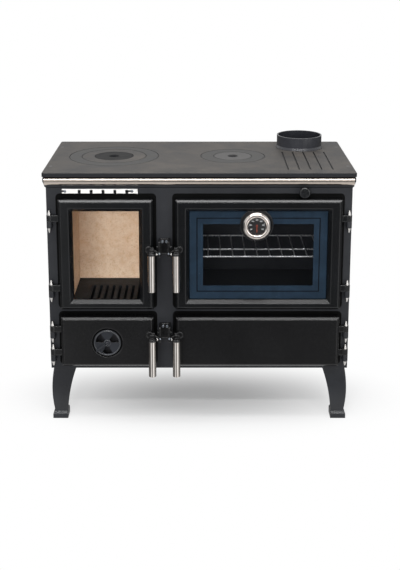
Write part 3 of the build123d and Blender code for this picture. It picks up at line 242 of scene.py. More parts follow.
# ---- finishes
@dataclass(frozen=True)
class Finish:
    """A surface finish. A subclass shades it; the material is made once and shared."""

    name: str

    def material(self) -> bpy.types.Material:
        """Gives the finish's material, making it on first use.

        Returns:
            The material.
        """
        found = bpy.data.materials.get(self.name)
        if found:
            return found
        made = bpy.data.materials.new(self.name)
        net = Net(made)
        net.add_node("OutputMaterial", {"Surface": self.shade(net)})
        return made

    def shade(self, net: Net) -> Node:
        """Builds the surface.

        Args:
            net: The material's node tree, with object coordinates in metres.

        Returns:
            The shader node.
        """
        raise NotImplementedError


@dataclass(frozen=True)
class CastPaint(Finish):
    """Heat-resistant stove paint over sand-cast iron.

    The sand leaves a fine grain under the paint, and the paint lies a little thicker in places,
    so the black has a slow drift between two shades and a soft, grainy sheen.
    """

    dark: str
    light: str
    grain_mm: float = 1.6       # sand grain under the paint, drawn coarser than its 0.3 mm to show at all
    drift_mm: float = 120.0
    depth_mm: float = 0.05
    edge_mm: float = 1.5        # how far the casting's edges are rounded off
    roughness: float = 0.42
    uneven: float = 0.06        # how much rougher or smoother the paint is from place to place
    specular: float = 0.32

    def shade(self, net: Net) -> Node:
        """Drift of the paint's shade, with the casting's grain in the bump and the gloss, and rounded edges.

        Args:
            net: The material's node tree.

        Returns:
            The shader node.
        """
        drift = net.noise(self.drift_mm, 3.0)
        shade = net.ramp(drift, (0.32, self.dark), (0.70, self.light))
        grain = net.noise(self.grain_mm, 2.0, Roughness=0.6)
        gloss = net.remap(grain, NOISE_SPAN, self.roughness - self.uneven, self.roughness + self.uneven)
        edges = net.add_node("Bevel", {"Radius": self.edge_mm * MM}, samples=8)
        bump = net.bumped(grain, self.depth_mm, 0.6, edges.outputs[0])
        return net.skin(shade, gloss, self.specular, bump)


@dataclass(frozen=True)
class GroundIron(Finish):
    """Cast iron ground flat on a belt and blackened with stove polish.

    The belt leaves faint streaks along its run, and the polish leaves cloudy patches.
    """

    dark: str
    light: str
    patch_mm: float
    streak_mm: float = 2.5      # width of a belt mark, drawn coarser than its 0.4 mm to show
    streak_share: float = 0.42  # the rest of the pattern is patches
    streak_depth_mm: float = 0.02
    edge: str = "#17181B"       # stove paint on the sides, which the belt doesn't reach
    soot: str = "#0E0E0E"       # painted shade along the gaps and grooves
    gap_shade_mm: float = 2.6
    top_mm: float = 765.0       # the ground face; whatever lies deeper gets painted shade
    sunk_mm: tuple = (0.6, 2.0)     # depths where the painted shade starts and where it covers all
    roughness: float = 0.58
    uneven: float = 0.1
    specular: float = 0.25
    run: Axis = Axis.X

    def shade(self, net: Net) -> Node:
        """Drawn-out noise for the belt marks over cloudy noise for the polish, and paint on upright faces.

        Args:
            net: The material's node tree.

        Returns:
            The shader node.
        """
        streak = net.noise(self.streak_mm, 3.0, net.drawn_out(self.run, 0.05))
        patch = net.noise(self.patch_mm, 5.0, Roughness=0.65)
        both = net.add_node("Mix", {"Factor": self.streak_share, 2: patch, 3: streak}, data_type="FLOAT").outputs[0]
        ground = net.ramp(both, (0.36, self.dark), (0.64, self.light))
        upward = net.remap(net.part_of(net.facing, "Z"), (0.5, 0.9))
        rounded = net.add_node("Bevel", {"Radius": self.gap_shade_mm * MM})
        flat = net.add_node("VectorMath", {0: rounded, 1: net.add_node("NewGeometry").outputs["Normal"]},
                            operation="DOT_PRODUCT").outputs["Value"]
        # Where painted shade goes: along edges, where the rounded normal turns from the true one, and below the
        # ground face.
        near_gap = net.remap(flat, (0.999, 0.93))
        sunk = net.remap(net.part_of(net.spots, "Z"), tuple((self.top_mm - depth) * MM for depth in self.sunk_mm))
        gap_shaded = net.mixed(net.calc("MAXIMUM", near_gap, sunk), ground, self.soot)
        shade = net.mixed(upward, self.edge, gap_shaded)
        gloss = net.remap(both, NOISE_SPAN, self.roughness - self.uneven, self.roughness + self.uneven)
        return net.skin(shade, gloss, self.specular, net.bumped(streak, self.streak_depth_mm, 0.5))


@dataclass(frozen=True)
class RawIron(Finish):
    """Unpainted grey iron of the fire floor and grate, sandy and dusted with pale ash."""

    iron: str = "#191C20"
    ash: str = "#31353A"
    sand_mm: float = 2.2
    sand_depth_mm: float = 0.15
    ash_mm: float = 30.0

    def shade(self, net: Net) -> Node:
        """Ash in soft clouds over a sandy skin.

        Args:
            net: The material's node tree.

        Returns:
            The shader node.
        """
        cloud = net.noise(self.ash_mm, 6.0, Roughness=0.7)
        shade = net.ramp(cloud, (0.42, self.iron), (0.78, self.ash))
        sand = net.cells(self.sand_mm).outputs["Distance"]
        return net.skin(shade, 0.75, 0.3, net.bumped(sand, self.sand_depth_mm, 0.5))


@dataclass(frozen=True)
class Steel(Finish):
    """Steel that is polished, brushed or plated; fine marks run along one axis and break its reflections."""

    tint: str
    shadow: str
    roughness: float
    mark_mm: float = 0.8
    run: Axis = Axis.Z
    depth_mm: float = 0.004
    metallic: float = 1.0       # below 1 adds a matt share in the tint, as fine scratches would; on the air slide its near-white share is a painted reflection

    def shade(self, net: Net) -> Node:
        """Hairline marks in colour, gloss and bump.

        Args:
            net: The material's node tree.

        Returns:
            The shader node.
        """
        marks = net.noise(self.mark_mm, 2.0, net.drawn_out(self.run, 0.03))
        shade = net.ramp(marks, (0.35, self.shadow), (0.6, self.tint))
        gloss = net.remap(marks, NOISE_SPAN, self.roughness * 0.75, self.roughness * 1.35)
        bump = net.bumped(marks, self.depth_mm, 0.4)
        return net.skin(shade, gloss, normal=bump, Metallic=self.metallic)


@dataclass(frozen=True)
class Enamel(Finish):
    """Black vitreous enamel of the oven: glassy, with fine pale specks and a slight orange peel."""

    base: str = "#1B1C1F"
    speck: str = "#2A2C2F"
    speck_mm: float = 3.0
    peel_mm: float = 9.0
    peel_depth_mm: float = 0.12
    roughness: float = 0.32

    def shade(self, net: Net) -> Node:
        """Specks from the cores of a cell pattern, with a slow wave in the glaze.

        Args:
            net: The material's node tree.

        Returns:
            The shader node.
        """
        cores = net.cells(self.speck_mm).outputs["Distance"]
        shade = net.ramp(cores, (0.10, self.speck), (0.22, self.base))
        peel = net.noise(self.peel_mm, 1.0)
        return net.skin(shade, self.roughness, 0.4, net.bumped(peel, self.peel_depth_mm, 0.4))


@dataclass(frozen=True)
class Vermiculite(Finish):
    """Pressed vermiculite board: sand-coloured, mottled, with flat flakes that glint a little."""

    pale: str = "#F4DCC2"
    warm: str = "#E8C8A8"
    flake: str = "#BE9874"
    flake_mm: float = 3.0
    flake_depth_mm: float = 0.3
    flake_share: float = 0.55   # how much of its own colour a flake shows
    mottle_mm: float = 22.0

    def shade(self, net: Net) -> Node:
        """Flakes over broad mottling.

        Args:
            net: The material's node tree.

        Returns:
            The shader node.
        """
        mottle = net.noise(self.mottle_mm, 6.0, Roughness=0.62)
        ground = net.ramp(mottle, (0.34, self.warm), (0.62, self.pale))
        flakes = net.cells(self.flake_mm)
        rare = net.remap(flakes.outputs["Color"], (0.62, 0.95), last=self.flake_share)
        shade = net.mixed(rare, ground, self.flake)
        return net.skin(shade, 0.86, 0.2, net.bumped(flakes.outputs["Distance"], self.flake_depth_mm, 0.35))


@dataclass(frozen=True)
class Pane(Finish):
    """Flat glass, or print on glass: see-through, with faint smears that break its gloss."""

    tint: str = "#0C0D0E"
    mottle: str = "#101113"
    opacity: float = 0.12
    roughness: float = 0.04
    specular: float = 0.5
    smear: float = 0.12         # how much rougher the smears are
    smear_mm: float = 60.0

    def shade(self, net: Net) -> Node:
        """A thin see-through skin with wiped smears.

        Args:
            net: The material's node tree.

        Returns:
            The shader node.
        """
        smear = net.noise(self.smear_mm, 4.0, Distortion=1.5)
        shade = net.ramp(smear, (0.4, self.tint), (0.7, self.mottle))
        gloss = net.remap(smear, (0.4, 0.8), self.roughness, self.roughness + self.smear)
        return net.skin(shade, gloss, self.specular, IOR=1.5, Alpha=self.opacity)


@dataclass(frozen=True)
class Lacquer(Finish):
    """A smooth lacquered or moulded surface: an even gloss with a very fine mottle."""

    base: str
    worn: str
    roughness: float
    mottle_mm: float = 6.0

    def shade(self, net: Net) -> Node:
        """Two close shades in a fine mottle.

        Args:
            net: The material's node tree.

        Returns:
            The shader node.
        """
        fine = net.noise(self.mottle_mm, 3.0)
        shade = net.ramp(fine, (0.35, self.base), (0.7, self.worn))
        gloss = net.remap(fine, NOISE_SPAN, self.roughness * 0.85, self.roughness * 1.2)
        return net.skin(shade, gloss)


@dataclass(frozen=True)
class GlassRope(Finish):
    """Woven glass-fibre rope, charcoal, with slanting strands about 2 mm wide."""

    strand: str = "#4A4A48"
    gap: str = "#1C1C1B"
    strand_mm: float = 2.4
    strand_depth_mm: float = 0.6
    slant_deg: float = 45.0

    def shade(self, net: Net) -> Node:
        """Two crossed sets of slanting bands, which read as a braid.

        Args:
            net: The material's node tree.

        Returns:
            The shader node.
        """
        bands = []
        for turn in (math.radians(self.slant_deg), math.radians(-self.slant_deg)):
            slant = net.add_node("Mapping", {"Vector": net.spots, "Rotation": (0.0, turn, 0.0)})
            wave = net.add_node("TexWave", {
                "Vector": slant, "Scale": per_metre(self.strand_mm) * WAVE_SCALE, "Distortion": 0.6},
                bands_direction="X")
            bands.append(wave.outputs["Fac"])
        braid = net.calc("MAXIMUM", *bands)
        shade = net.ramp(braid, (0.35, self.gap), (0.85, self.strand))
        return net.skin(shade, 0.9, 0.2, net.bumped(braid, self.strand_depth_mm, 0.8))


BODY_PAINT = CastPaint("stove_paint_on_front_casting", "#1B1C1F", "#26272A")
DOOR_PAINT = CastPaint("stove_paint_on_door_casting", "#090A0B", "#0F1012", roughness=0.2, specular=0.46,
                       depth_mm=0.03, edge_mm=5.0)
LOW_DOOR_PAINT = CastPaint("stove_paint_on_low_door_casting", "#0A0A0B", "#0F0F10", roughness=0.23, specular=0.42,
                           depth_mm=0.025, edge_mm=5.0)
LATCH_PAINT = CastPaint("stove_paint_on_latch_casting", "#070708", "#0D0D0E", roughness=0.2, specular=0.6,
                        grain_mm=2.0, edge_mm=4.5)
LEG_PAINT = CastPaint("stove_paint_on_leg_casting", "#17181B", "#232529", roughness=0.32, specular=0.5, edge_mm=5.0)
SHEET_PAINT = CastPaint("stove_paint_on_sheet", "#191A1C", "#212225", grain_mm=1.2, depth_mm=0.02)
COLLAR_PAINT = CastPaint("stove_paint_on_collar", "#1B1C20", "#292A2E", roughness=0.3, specular=0.5)
WHEEL_PAINT = CastPaint("stove_paint_on_air_wheel", "#1A1C20", "#25272C", roughness=0.36)
RELIEF_PAINT = CastPaint("stove_paint_on_wheel_relief", "#1D1F23", "#2A2C31", roughness=0.2, specular=0.9,
                         grain_mm=2.0, edge_mm=1.0)
# A near-black ring of painted shade on the air wheel's recess floor.
WHEEL_RECESS_SHADE = CastPaint("painted_wheel_recess_shade", "#040404", "#070707", roughness=0.6, specular=0.05)
# Near-black bands of painted shadow on the front round the doors.
DOOR_SHADOW_BLACK = CastPaint("sooted_door_seat", "#020202", "#060606", roughness=0.6, specular=0.08)
PLATE_IRON = GroundIron("ground_iron_cooktop", "#212122", "#484440", patch_mm=80.0)
RING_IRON = GroundIron("ground_iron_ring", "#282829", "#3D3C3A", patch_mm=40.0)
DARK_COVER_IRON = GroundIron("ground_iron_left_cover", "#0A0A0B", "#161616", patch_mm=35.0, specular=0.12)
LIGHT_COVER_IRON = GroundIron("ground_iron_right_cover", "#363535", "#4A4948", patch_mm=35.0)
GRATE_IRON = RawIron("raw_grey_iron")
RAIL_STEEL = Steel("polished_stainless_rail", "#C6BBB1", "#BFB4AA", run=Axis.X, roughness=0.19, mark_mm=0.2,
                   depth_mm=0.0005)
HANDLE_STEEL = Steel("polished_stainless_handle", "#E9E4DF", "#D2CAC3", roughness=0.06, depth_mm=0.002)
BEZEL_STEEL = Steel("polished_stainless_bezel", "#E2DBD5", "#C8BFB8", roughness=0.16)
PIN_STEEL = Steel("bright_steel_pin", "#D4D2D0", "#B4B1AE", roughness=0.2)
# Its near-white matt share is a painted reflection of the white that the polished strip shows.
STRIP_STEEL_PAINTED_SHEEN = Steel("brushed_stainless_strip_painted_sheen", "#F6F5F3", "#E4E1DD", roughness=0.45, metallic=0.4, run=Axis.X)
SCREW_STEEL = Steel("zinc_plated_screw", "#AEB4BD", "#878D96", roughness=0.3)
BLACK_SCREW = Lacquer("blackened_screw", "#161617", "#28282A", roughness=0.4)
WIRE_CHROME = Steel("chromed_wire", "#E2E3E5", "#C0C2C6", roughness=0.26, metallic=0.8)
OVEN_ENAMEL = Enamel("black_vitreous_enamel")
PAN_PAINT = CastPaint("dark_paint_on_ash_pan", "#232325", "#303033", grain_mm=1.2)
BOARD = Vermiculite("pressed_vermiculite")
FIRE_PANE = Pane("glass_ceramic", opacity=0.08)
OVEN_PANE = Pane("tinted_oven_pane", "#0E1012", "#131518", opacity=0.13)
LENS_PANE = Pane("dial_glass", "#101112", "#151618", opacity=0.07)
BORDER_PRINT = Pane("blue_print_on_glass", "#233241", "#283A4B", opacity=0.93, roughness=0.4, specular=0.15,
                    smear=0.04)
LINE_PRINT = Pane("black_print_on_glass", "#07080A", "#0A0B0D", opacity=0.97, roughness=0.4, specular=0.1, smear=0.04)
DIAL_BLACK = Lacquer("black_dial", "#0B0B0C", "#121214", roughness=0.5)
DIAL_WHITE = Lacquer("white_dial_print", "#C9CACB", "#DADBDC", roughness=0.5)
POINTER_RED = Lacquer("orange_red_pointer", "#7C311B", "#8A3A22", roughness=0.4)
KNOB_BLACK = Lacquer("black_thermoset_knob", "#101112", "#18191B", roughness=0.22)
ROPE = GlassRope("glass_fibre_rope")


# ---- modelling helpers
def select_only(*pieces: Piece) -> None:
    """Selects only these objects and makes the first one active.

    Args:
        pieces: The objects.
    """
    bpy.ops.object.select_all(action="DESELECT")
    for piece in pieces:
        piece.select_set(True)
    bpy.context.view_layer.objects.active = pieces[0]


def bake(piece: Piece) -> None:
    """Puts an object's place, turn and scale into its mesh."""
    select_only(piece)
    bpy.ops.object.transform_apply(location=True, rotation=True, scale=True)


def settle(piece: Piece, name: str, finish: Finish, body: str, smooth_deg: float = 35.0) -> Piece:
    """Names a finished piece, puts its place into its mesh, gives it its finish and its body.

    Args:
        piece: The mesh object.
        name: The piece's name.
        finish: Its finish.
        body: The moving body that it rides on.
        smooth_deg: Edges sharper than this stay sharp.

    Returns:
        The piece.
    """
    bake(piece)
    bpy.ops.object.shade_smooth_by_angle(angle=math.radians(smooth_deg))
    piece.name = name
    piece.data.name = name
    piece.data.materials.clear()
    piece.data.materials.append(finish.material())
    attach(piece, body)
    log.info("%s: %d faces, %s, rides on %s", name, len(piece.data.polygons), finish.name, body)
    return piece


def middle_of(node: str) -> Vector:
    """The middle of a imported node's box, in metres."""
    low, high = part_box(node)
    return (low + high) / 2


def at_depth(point: Vector, y: float) -> Vector:
    """The point moved to another Y, in metres."""
    return Vector((point.x, y, point.z))


def open_plane(width: float, height: float) -> Piece:
    """Adds a plane in XY at the origin and leaves it in edit mode with all of it selected.

    Args:
        width: Its width in metres.
        height: Its height in metres.

    Returns:
        The plane.
    """
    bpy.ops.mesh.primitive_plane_add(size=1, location=(0, 0, 0))
    bpy.ops.object.mode_set(mode="EDIT")
    bpy.ops.mesh.select_all(action="SELECT")
    bpy.ops.transform.resize(value=(width, height, 1))
    return bpy.context.object


def open_point(*place: float) -> Piece:
    """Adds a lone point and leaves it selected in edit mode.

    Args:
        place: Its X, Y and Z in millimetres.

    Returns:
        The object that holds it.
    """
    piece = open_plane(MM, MM)
    bpy.ops.mesh.merge(type="CENTER")
    bpy.ops.transform.translate(value=Vector(place) * MM)
    return piece


def pull(x: float, y: float, z: float) -> None:
    """Extrudes what is selected by so many millimetres."""
    bpy.ops.mesh.extrude_region_move(TRANSFORM_OT_translate={"value": (x * MM, y * MM, z * MM)})


def close_up() -> None:
    """Turns all faces outwards and leaves edit mode."""
    bpy.ops.mesh.select_all(action="SELECT")
    bpy.ops.mesh.normals_make_consistent(inside=False)
    bpy.ops.object.mode_set(mode="OBJECT")


def stand(piece: Piece, place: Vector) -> Piece:
    """Turns what was drawn in XY to face the front and puts it in its place.

    Args:
        piece: What was drawn.
        place: Where its origin goes, in metres.

    Returns:
        The piece.
    """
    piece.rotation_euler = (math.radians(90), 0, 0)
    piece.location = place
    return piece


def lathe(profile: list[tuple[float, float]], centre: Vector, steps: int = 48) -> Piece:
    """Turns a profile about an axis along Y.

    Args:
        profile: Radius and distance along Y from the centre, in millimetres.
        centre: The axis's point, in metres.
        steps: Divisions round the axis.

    Returns:
        The turned object, closed at its poles and with its faces outwards.
    """
    piece = open_point(*profile[0], 0)
    for here, (radius, along) in zip(profile, profile[1:]):
        pull(radius - here[0], along - here[1], 0)
    bpy.ops.mesh.select_all(action="SELECT")
    bpy.ops.mesh.spin(steps=steps, angle=2 * math.pi, center=(0, 0, 0), axis=(0, 1, 0))
    bpy.ops.mesh.select_all(action="SELECT")
    bpy.ops.mesh.remove_doubles(threshold=1e-6)
    close_up()
    piece.location = centre
    return piece


def arch(inner: float, outer: float, rise: float, foot: float, parts: int, lift: float = 0.0) -> list:
    """The section of a ring with a rounded front, for the lathe.

    Args:
        inner: The ring's inner radius in millimetres.
        outer: Its outer radius.
        rise: How far its crown stands before the arch's ends.
        foot: Its back, behind the face that it stands on.
        parts: Straight parts in the arch.
        lift: How far the arch's ends lie behind that face.

    Returns:
        The closed profile.
    """
    half = (outer - inner) / 2
    turns = [i * math.pi / parts for i in range(parts + 1)]
    points = [(inner + half - half * math.cos(turn), lift - rise * math.sin(turn)) for turn in turns]
    return [*points, (outer, foot), (inner, foot), points[0]]


def dome(radius: float, rise: float, turns: tuple[float, ...]) -> list:
    """The section of a dome from its pole outwards, for the lathe."""
    return [(radius * math.sin(turn), -rise * math.cos(turn)) for turn in turns]


def plate(width: float, height: float, thick: float, corner: float, parts: int) -> Piece:
    """A flat plate in XY with rounded corners, with sizes in millimetres.

    Args:
        width: Its width.
        height: Its height.
        thick: How far it goes up from the origin.
        corner: How far its corners are rounded, or 0.
        parts: Straight parts in each rounding.

    Returns:
        The plate.
    """
    piece = open_plane(width * MM, height * MM)
    if corner:
        bpy.ops.mesh.bevel(offset=corner * MM, segments=parts, affect="VERTICES")
    pull(0, 0, thick)
    close_up()
    return piece


def join(pieces: list[Piece]) -> Piece:
    """Joins several meshes into the first one.

    Args:
        pieces: Their objects.

    Returns:
        The joined object.
    """
    for piece in pieces:
        bake(piece)
    select_only(*pieces)
    bpy.ops.object.join()
    return bpy.context.object


# ---- sub-assemblies
@dataclass
class Assembly:
    """A sub-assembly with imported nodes."""

    finishes: tuple = ()        # rows of a finish and the names of the nodes that it goes on

    def dress(self, frame: dict) -> None:
        """Gives the nodes their finishes through their material slots.

        Args:
            frame: The loaded frame.
        """
        for finish, *nodes in self.finishes:
            for name in nodes:
                mesh = frame["nodes"][name].data
                mesh.materials.clear()
                mesh.materials.append(finish.material())
                log.info("%s: %s", name, finish.name)


@dataclass
class Cooktop(Assembly):
    """The ground plate with its loose rings and covers, the collar and the moulding with the rail."""

    finishes: tuple = (
        (PLATE_IRON, "cooktop_plate", "left_middle_ring"), (RING_IRON, "left_outer_ring", "right_ring"),
        (DARK_COVER_IRON, "left_cover"), (LIGHT_COVER_IRON, "right_cover"), (COLLAR_PAINT, "flue_collar"),
        (BODY_PAINT, "top_frame"), (RAIL_STEEL, "front_rail"), (BLACK_SCREW, "plate_screws"))


@dataclass
class Body(Assembly):
    """The cast front with its catches, pins and slide, the sheets behind it, and the legs."""

    finishes: tuple = (
        (BODY_PAINT, "front_frame"),
        (SHEET_PAINT, "body_shell", "bottom_panel", "deck_plate", "casing", "ash_box", "flue_box", "damper"),
        (LEG_PAINT, "front_left_leg", "front_right_leg", "back_left_leg", "back_right_leg"),
        (LATCH_PAINT, "catches"), (PIN_STEEL, "hinge_pins"), (SCREW_STEEL, "face_screws", "leg_bolts"),
        (STRIP_STEEL_PAINTED_SHEEN, "air_slide"), (KNOB_BLACK, "damper_knob"))


@dataclass
class Insides(Assembly):
    """The fire chamber's boards, floor and grate, the pan below, and the enamelled oven with its chromed rack."""

    finishes: tuple = (
        (BOARD, "fire_side_boards", "fire_back_board"), (GRATE_IRON, "fire_floor", "grate"),
        (PAN_PAINT, "ash_pan"), (OVEN_ENAMEL, "oven_box"), (WIRE_CHROME, "oven_rack"))


@dataclass
class Doors(Assembly):
    """The four doors with their panes, clips, latches and the air wheel."""

    finishes: tuple = (
        (DOOR_PAINT, "fire_door_frame", "oven_door_frame"), (LOW_DOOR_PAINT, "ash_door_panel", "soot_door_panel"),
        (FIRE_PANE, "fire_door_glass"), (OVEN_PANE, "oven_door_glass"),
        (SCREW_STEEL, "fire_door_clips", "oven_door_clips"), (WHEEL_PAINT, "air_wheel"),
        (RELIEF_PAINT, "air_wheel_rivet"), (LATCH_PAINT, *(f"{door}_latch_lever" for door in DOORS)),
        (HANDLE_STEEL, *(f"{door}_latch_handle" for door in DOORS)))


@dataclass
class LatchRivets:
    """Bright domed rivets: one on each latch's tongue, and one on each cheek of the catches."""

    radius: float = 3.1
    rise: float = 1.7
    root: float = 0.5               # how far a rivet goes on into what carries it
    tongue_reach: float = 22.5      # from the pivot towards the post
    tongue_drop: float = 13.0       # below the pivot
    tongue_depth: float = 32.2      # the tongue's face behind the lever's foremost point
    handle_reach: float = 9.0       # the handle's axis from the pivot
    handle_drop: float = 9.0        # the handle's top below the pivot
    lip: float = 5.0                # how far a catch's lip stands out beside its cheek
    cheek_inset: float = 3.0

    def build(self) -> list[Piece]:
        """Makes the rivets.

        Returns:
            A piece for each latch, and one for the catches.
        """
        made = []
        cheeks = []
        low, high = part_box("catches")
        for door, side in zip(DOORS, (1, -1, 1, -1)):
            handle = middle_of(f"{door}_latch_handle")
            _, handle_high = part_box(f"{door}_latch_handle")
            lever_low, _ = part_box(f"{door}_latch_lever")
            z = handle_high.z + (self.handle_drop - self.tongue_drop) * MM
            tongue_x = handle.x + side * (self.tongue_reach - self.handle_reach) * MM
            rivet = self.rivet(Vector((tongue_x, lever_low.y + self.tongue_depth * MM, z)))
            made.append(settle(rivet, f"{door}_latch_rivet", PIN_STEEL, f"{door}_latch"))
            cheek_x = (low.x if side > 0 else high.x) + side * (self.lip + self.cheek_inset) * MM
            cheeks.append(self.rivet(Vector((cheek_x, low.y, z))))
        return [*made, settle(join(cheeks), "catch_rivets", SCREW_STEEL, "root")]

    def rivet(self, seat: Vector) -> Piece:
        """One domed head on the face whose middle is given, in metres."""
        head = dome(self.radius, self.rise, (0.0, 0.4, 0.8, 1.15, 1.45))
        return lathe([*head, (self.radius, self.root), (0.0, self.root)], seat, 24)


@dataclass
class WheelRelief:
    """The air wheel's raised rim and hub ring, and a near-black ring of painted shade in the recess round it."""

    rim: tuple = (35.2, 38.8)       # inner and outer radius
    hub: tuple = (7.6, 10.4)
    rise: float = 1.2
    root: float = 0.4               # how far the rings go on into the disc
    # Inner and outer radius of the ring of painted shade on the recess floor.
    seat: tuple = (40.6, 44.2)
    shade_ring_thick: float = 0.4
    shade_ring_root: float = 0.2
    recess: float = 2.5             # the recess floor's depth below the door's face, where the painted-shade ring lies
    disc_front: float = 4.0         # the disc's face before its box's back
    steps: int = 72

    def build(self) -> list[Piece]:
        """Makes the two raised rings and the ring of painted shade.

        Returns:
            The rings as one piece, and the painted-shade ring.
        """
        _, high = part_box("air_wheel")
        door_low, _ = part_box("ash_door_panel")
        middle = middle_of("air_wheel_rivet")
        face = at_depth(middle, high.y - self.disc_front * MM)
        floor = at_depth(middle, door_low.y + self.recess * MM)
        rings = [lathe(arch(*radii, self.rise, self.root, 8), face, self.steps) for radii in (self.rim, self.hub)]
        relief = settle(join(rings), "air_wheel_relief", RELIEF_PAINT, "air_wheel")
        inner, outer = self.seat
        start = (inner, self.shade_ring_root)
        edge = [start, (inner, -self.shade_ring_thick), (outer, -self.shade_ring_thick), (outer, self.shade_ring_root), start]
        seat = settle(lathe(edge, floor, self.steps), "air_wheel_recess_shade", WHEEL_RECESS_SHADE, "ash_door")
        return [relief, seat]


@dataclass
class DoorShadowBands:
    """Bands of painted shadow on the front round the closed doors, widest above each, with rounded corners."""

    lap: float = 2.0                # band that runs on under the door's edge
    side: float = 9.0               # band beside the door
    below: float = 6.0              # band under the door
    corner: float = 12.0
    corner_parts: int = 8
    coat: float = 0.25              # thickness of the band on the front, and as much inside it
    cutter: float = 5.0             # the same of the block that cuts the doorway out
    front: float = -174.0           # the cast front's face
    sides: tuple = ((-405.0, -133.0), (-69.0, 410.5))           # left and right edges of the doors
    rows: tuple = ((358.0, 688.0, 12.0), (181.0, 333.0, 9.5))   # their bottom and top, and the band above them

    def build(self) -> list[Piece]:
        """Makes the four painted-shadow bands: a rounded sheet on the front with each door's outline cut out of it.

        Returns:
            One band for each door.
        """
        made = []
        places = [(*across, *up) for up in self.rows for across in self.sides]
        for door, (left, right, bottom, top, above) in zip(DOORS, places):
            piece = self.sheet(left - self.side, right + self.side, bottom - self.below, top + above, self.coat,
                               self.corner)
            hole = self.sheet(left + self.lap, right - self.lap, bottom + self.lap, top - self.lap, self.cutter)
            cut = piece.modifiers.new("cut", "BOOLEAN")
            cut.object = hole
            cut.solver = "EXACT"
            select_only(piece)
            bpy.ops.object.modifier_apply(modifier=cut.name)
            bpy.data.objects.remove(hole)
            made.append(settle(piece, f"{door}_door_seat", DOOR_SHADOW_BLACK, "root"))
        return made

    def sheet(self, left: float, right: float, bottom: float, top: float, thick: float,
              corner: float = 0.0) -> Piece:
        """A sheet between these edges, in millimetres, that stands out of the front and reaches as far into it."""
        piece = plate(right - left, top - bottom, 2 * thick, corner, self.corner_parts)
        return stand(piece, Vector(((left + right) / 2, self.front + thick, (bottom + top) / 2)) * MM)


@dataclass
class AirBaffle:
    """The bent strip behind the air slide that turns the air down along the glass."""

    top: float = 721.0
    bottom: float = 693.0
    back: float = 18.0          # behind the cast front's inner face
    sheet: float = 1.5
    left: float = -402.0
    right: float = -138.0
    inside: float = -166.0

    def build(self) -> Piece:
        """Makes the strip by extruding its bent section.

        Returns:
            The strip.
        """
        piece = open_point(self.left, self.inside, self.top)
        for step in ((0, self.back, 0), (0, 0, self.bottom - self.top), (0, -self.sheet, 0),
                     (0, 0, self.top - self.bottom - self.sheet), (0, self.sheet - self.back, 0)):
            pull(*step)
        bpy.ops.mesh.select_all(action="SELECT")
        bpy.ops.mesh.edge_face_add()
        pull(self.right - self.left, 0, 0)
        close_up()
        return settle(piece, "air_baffle", SHEET_PAINT, "root")


@dataclass
class OvenPrint:
    """The blue border printed on the inner face of the oven's pane, split by a fine black line."""

    lap: float = 3.0            # print that runs on under the casting's lip
    outer_band: float = 20.0
    line: float = 3.0
    inner_band: float = 16.0
    ink: float = 0.12
    gap: float = 0.05           # between pane and ink, so that the two don't flicker
    lip: float = 8.0            # how far the casting's lip covers the pane

    def build(self) -> list[Piece]:
        """Makes the three printed frames.

        Returns:
            The printed pieces.
        """
        low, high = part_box("oven_door_glass")
        width, _, height = (high - low) / MM - 2 * (self.lip - self.lap) * Vector((1, 1, 1))
        centre = at_depth((low + high) / 2, high.y + (self.ink + self.gap) * MM)
        made = []
        for band, finish, name in ((self.lap + self.outer_band, BORDER_PRINT, "outer_band"),
                                   (self.line, LINE_PRINT, "line"),
                                   (self.inner_band, BORDER_PRINT, "inner_band")):
            piece = open_plane(width * MM, height * MM)
            bpy.ops.mesh.inset(thickness=band * MM, use_even_offset=True)
            bpy.ops.mesh.delete(type="FACE")
            bpy.ops.mesh.select_all(action="SELECT")
            pull(0, 0, self.ink)
            close_up()
            made.append(settle(stand(piece, centre), f"oven_print_{name}", finish, "oven_door"))
            width -= 2 * band
            height -= 2 * band
        return made


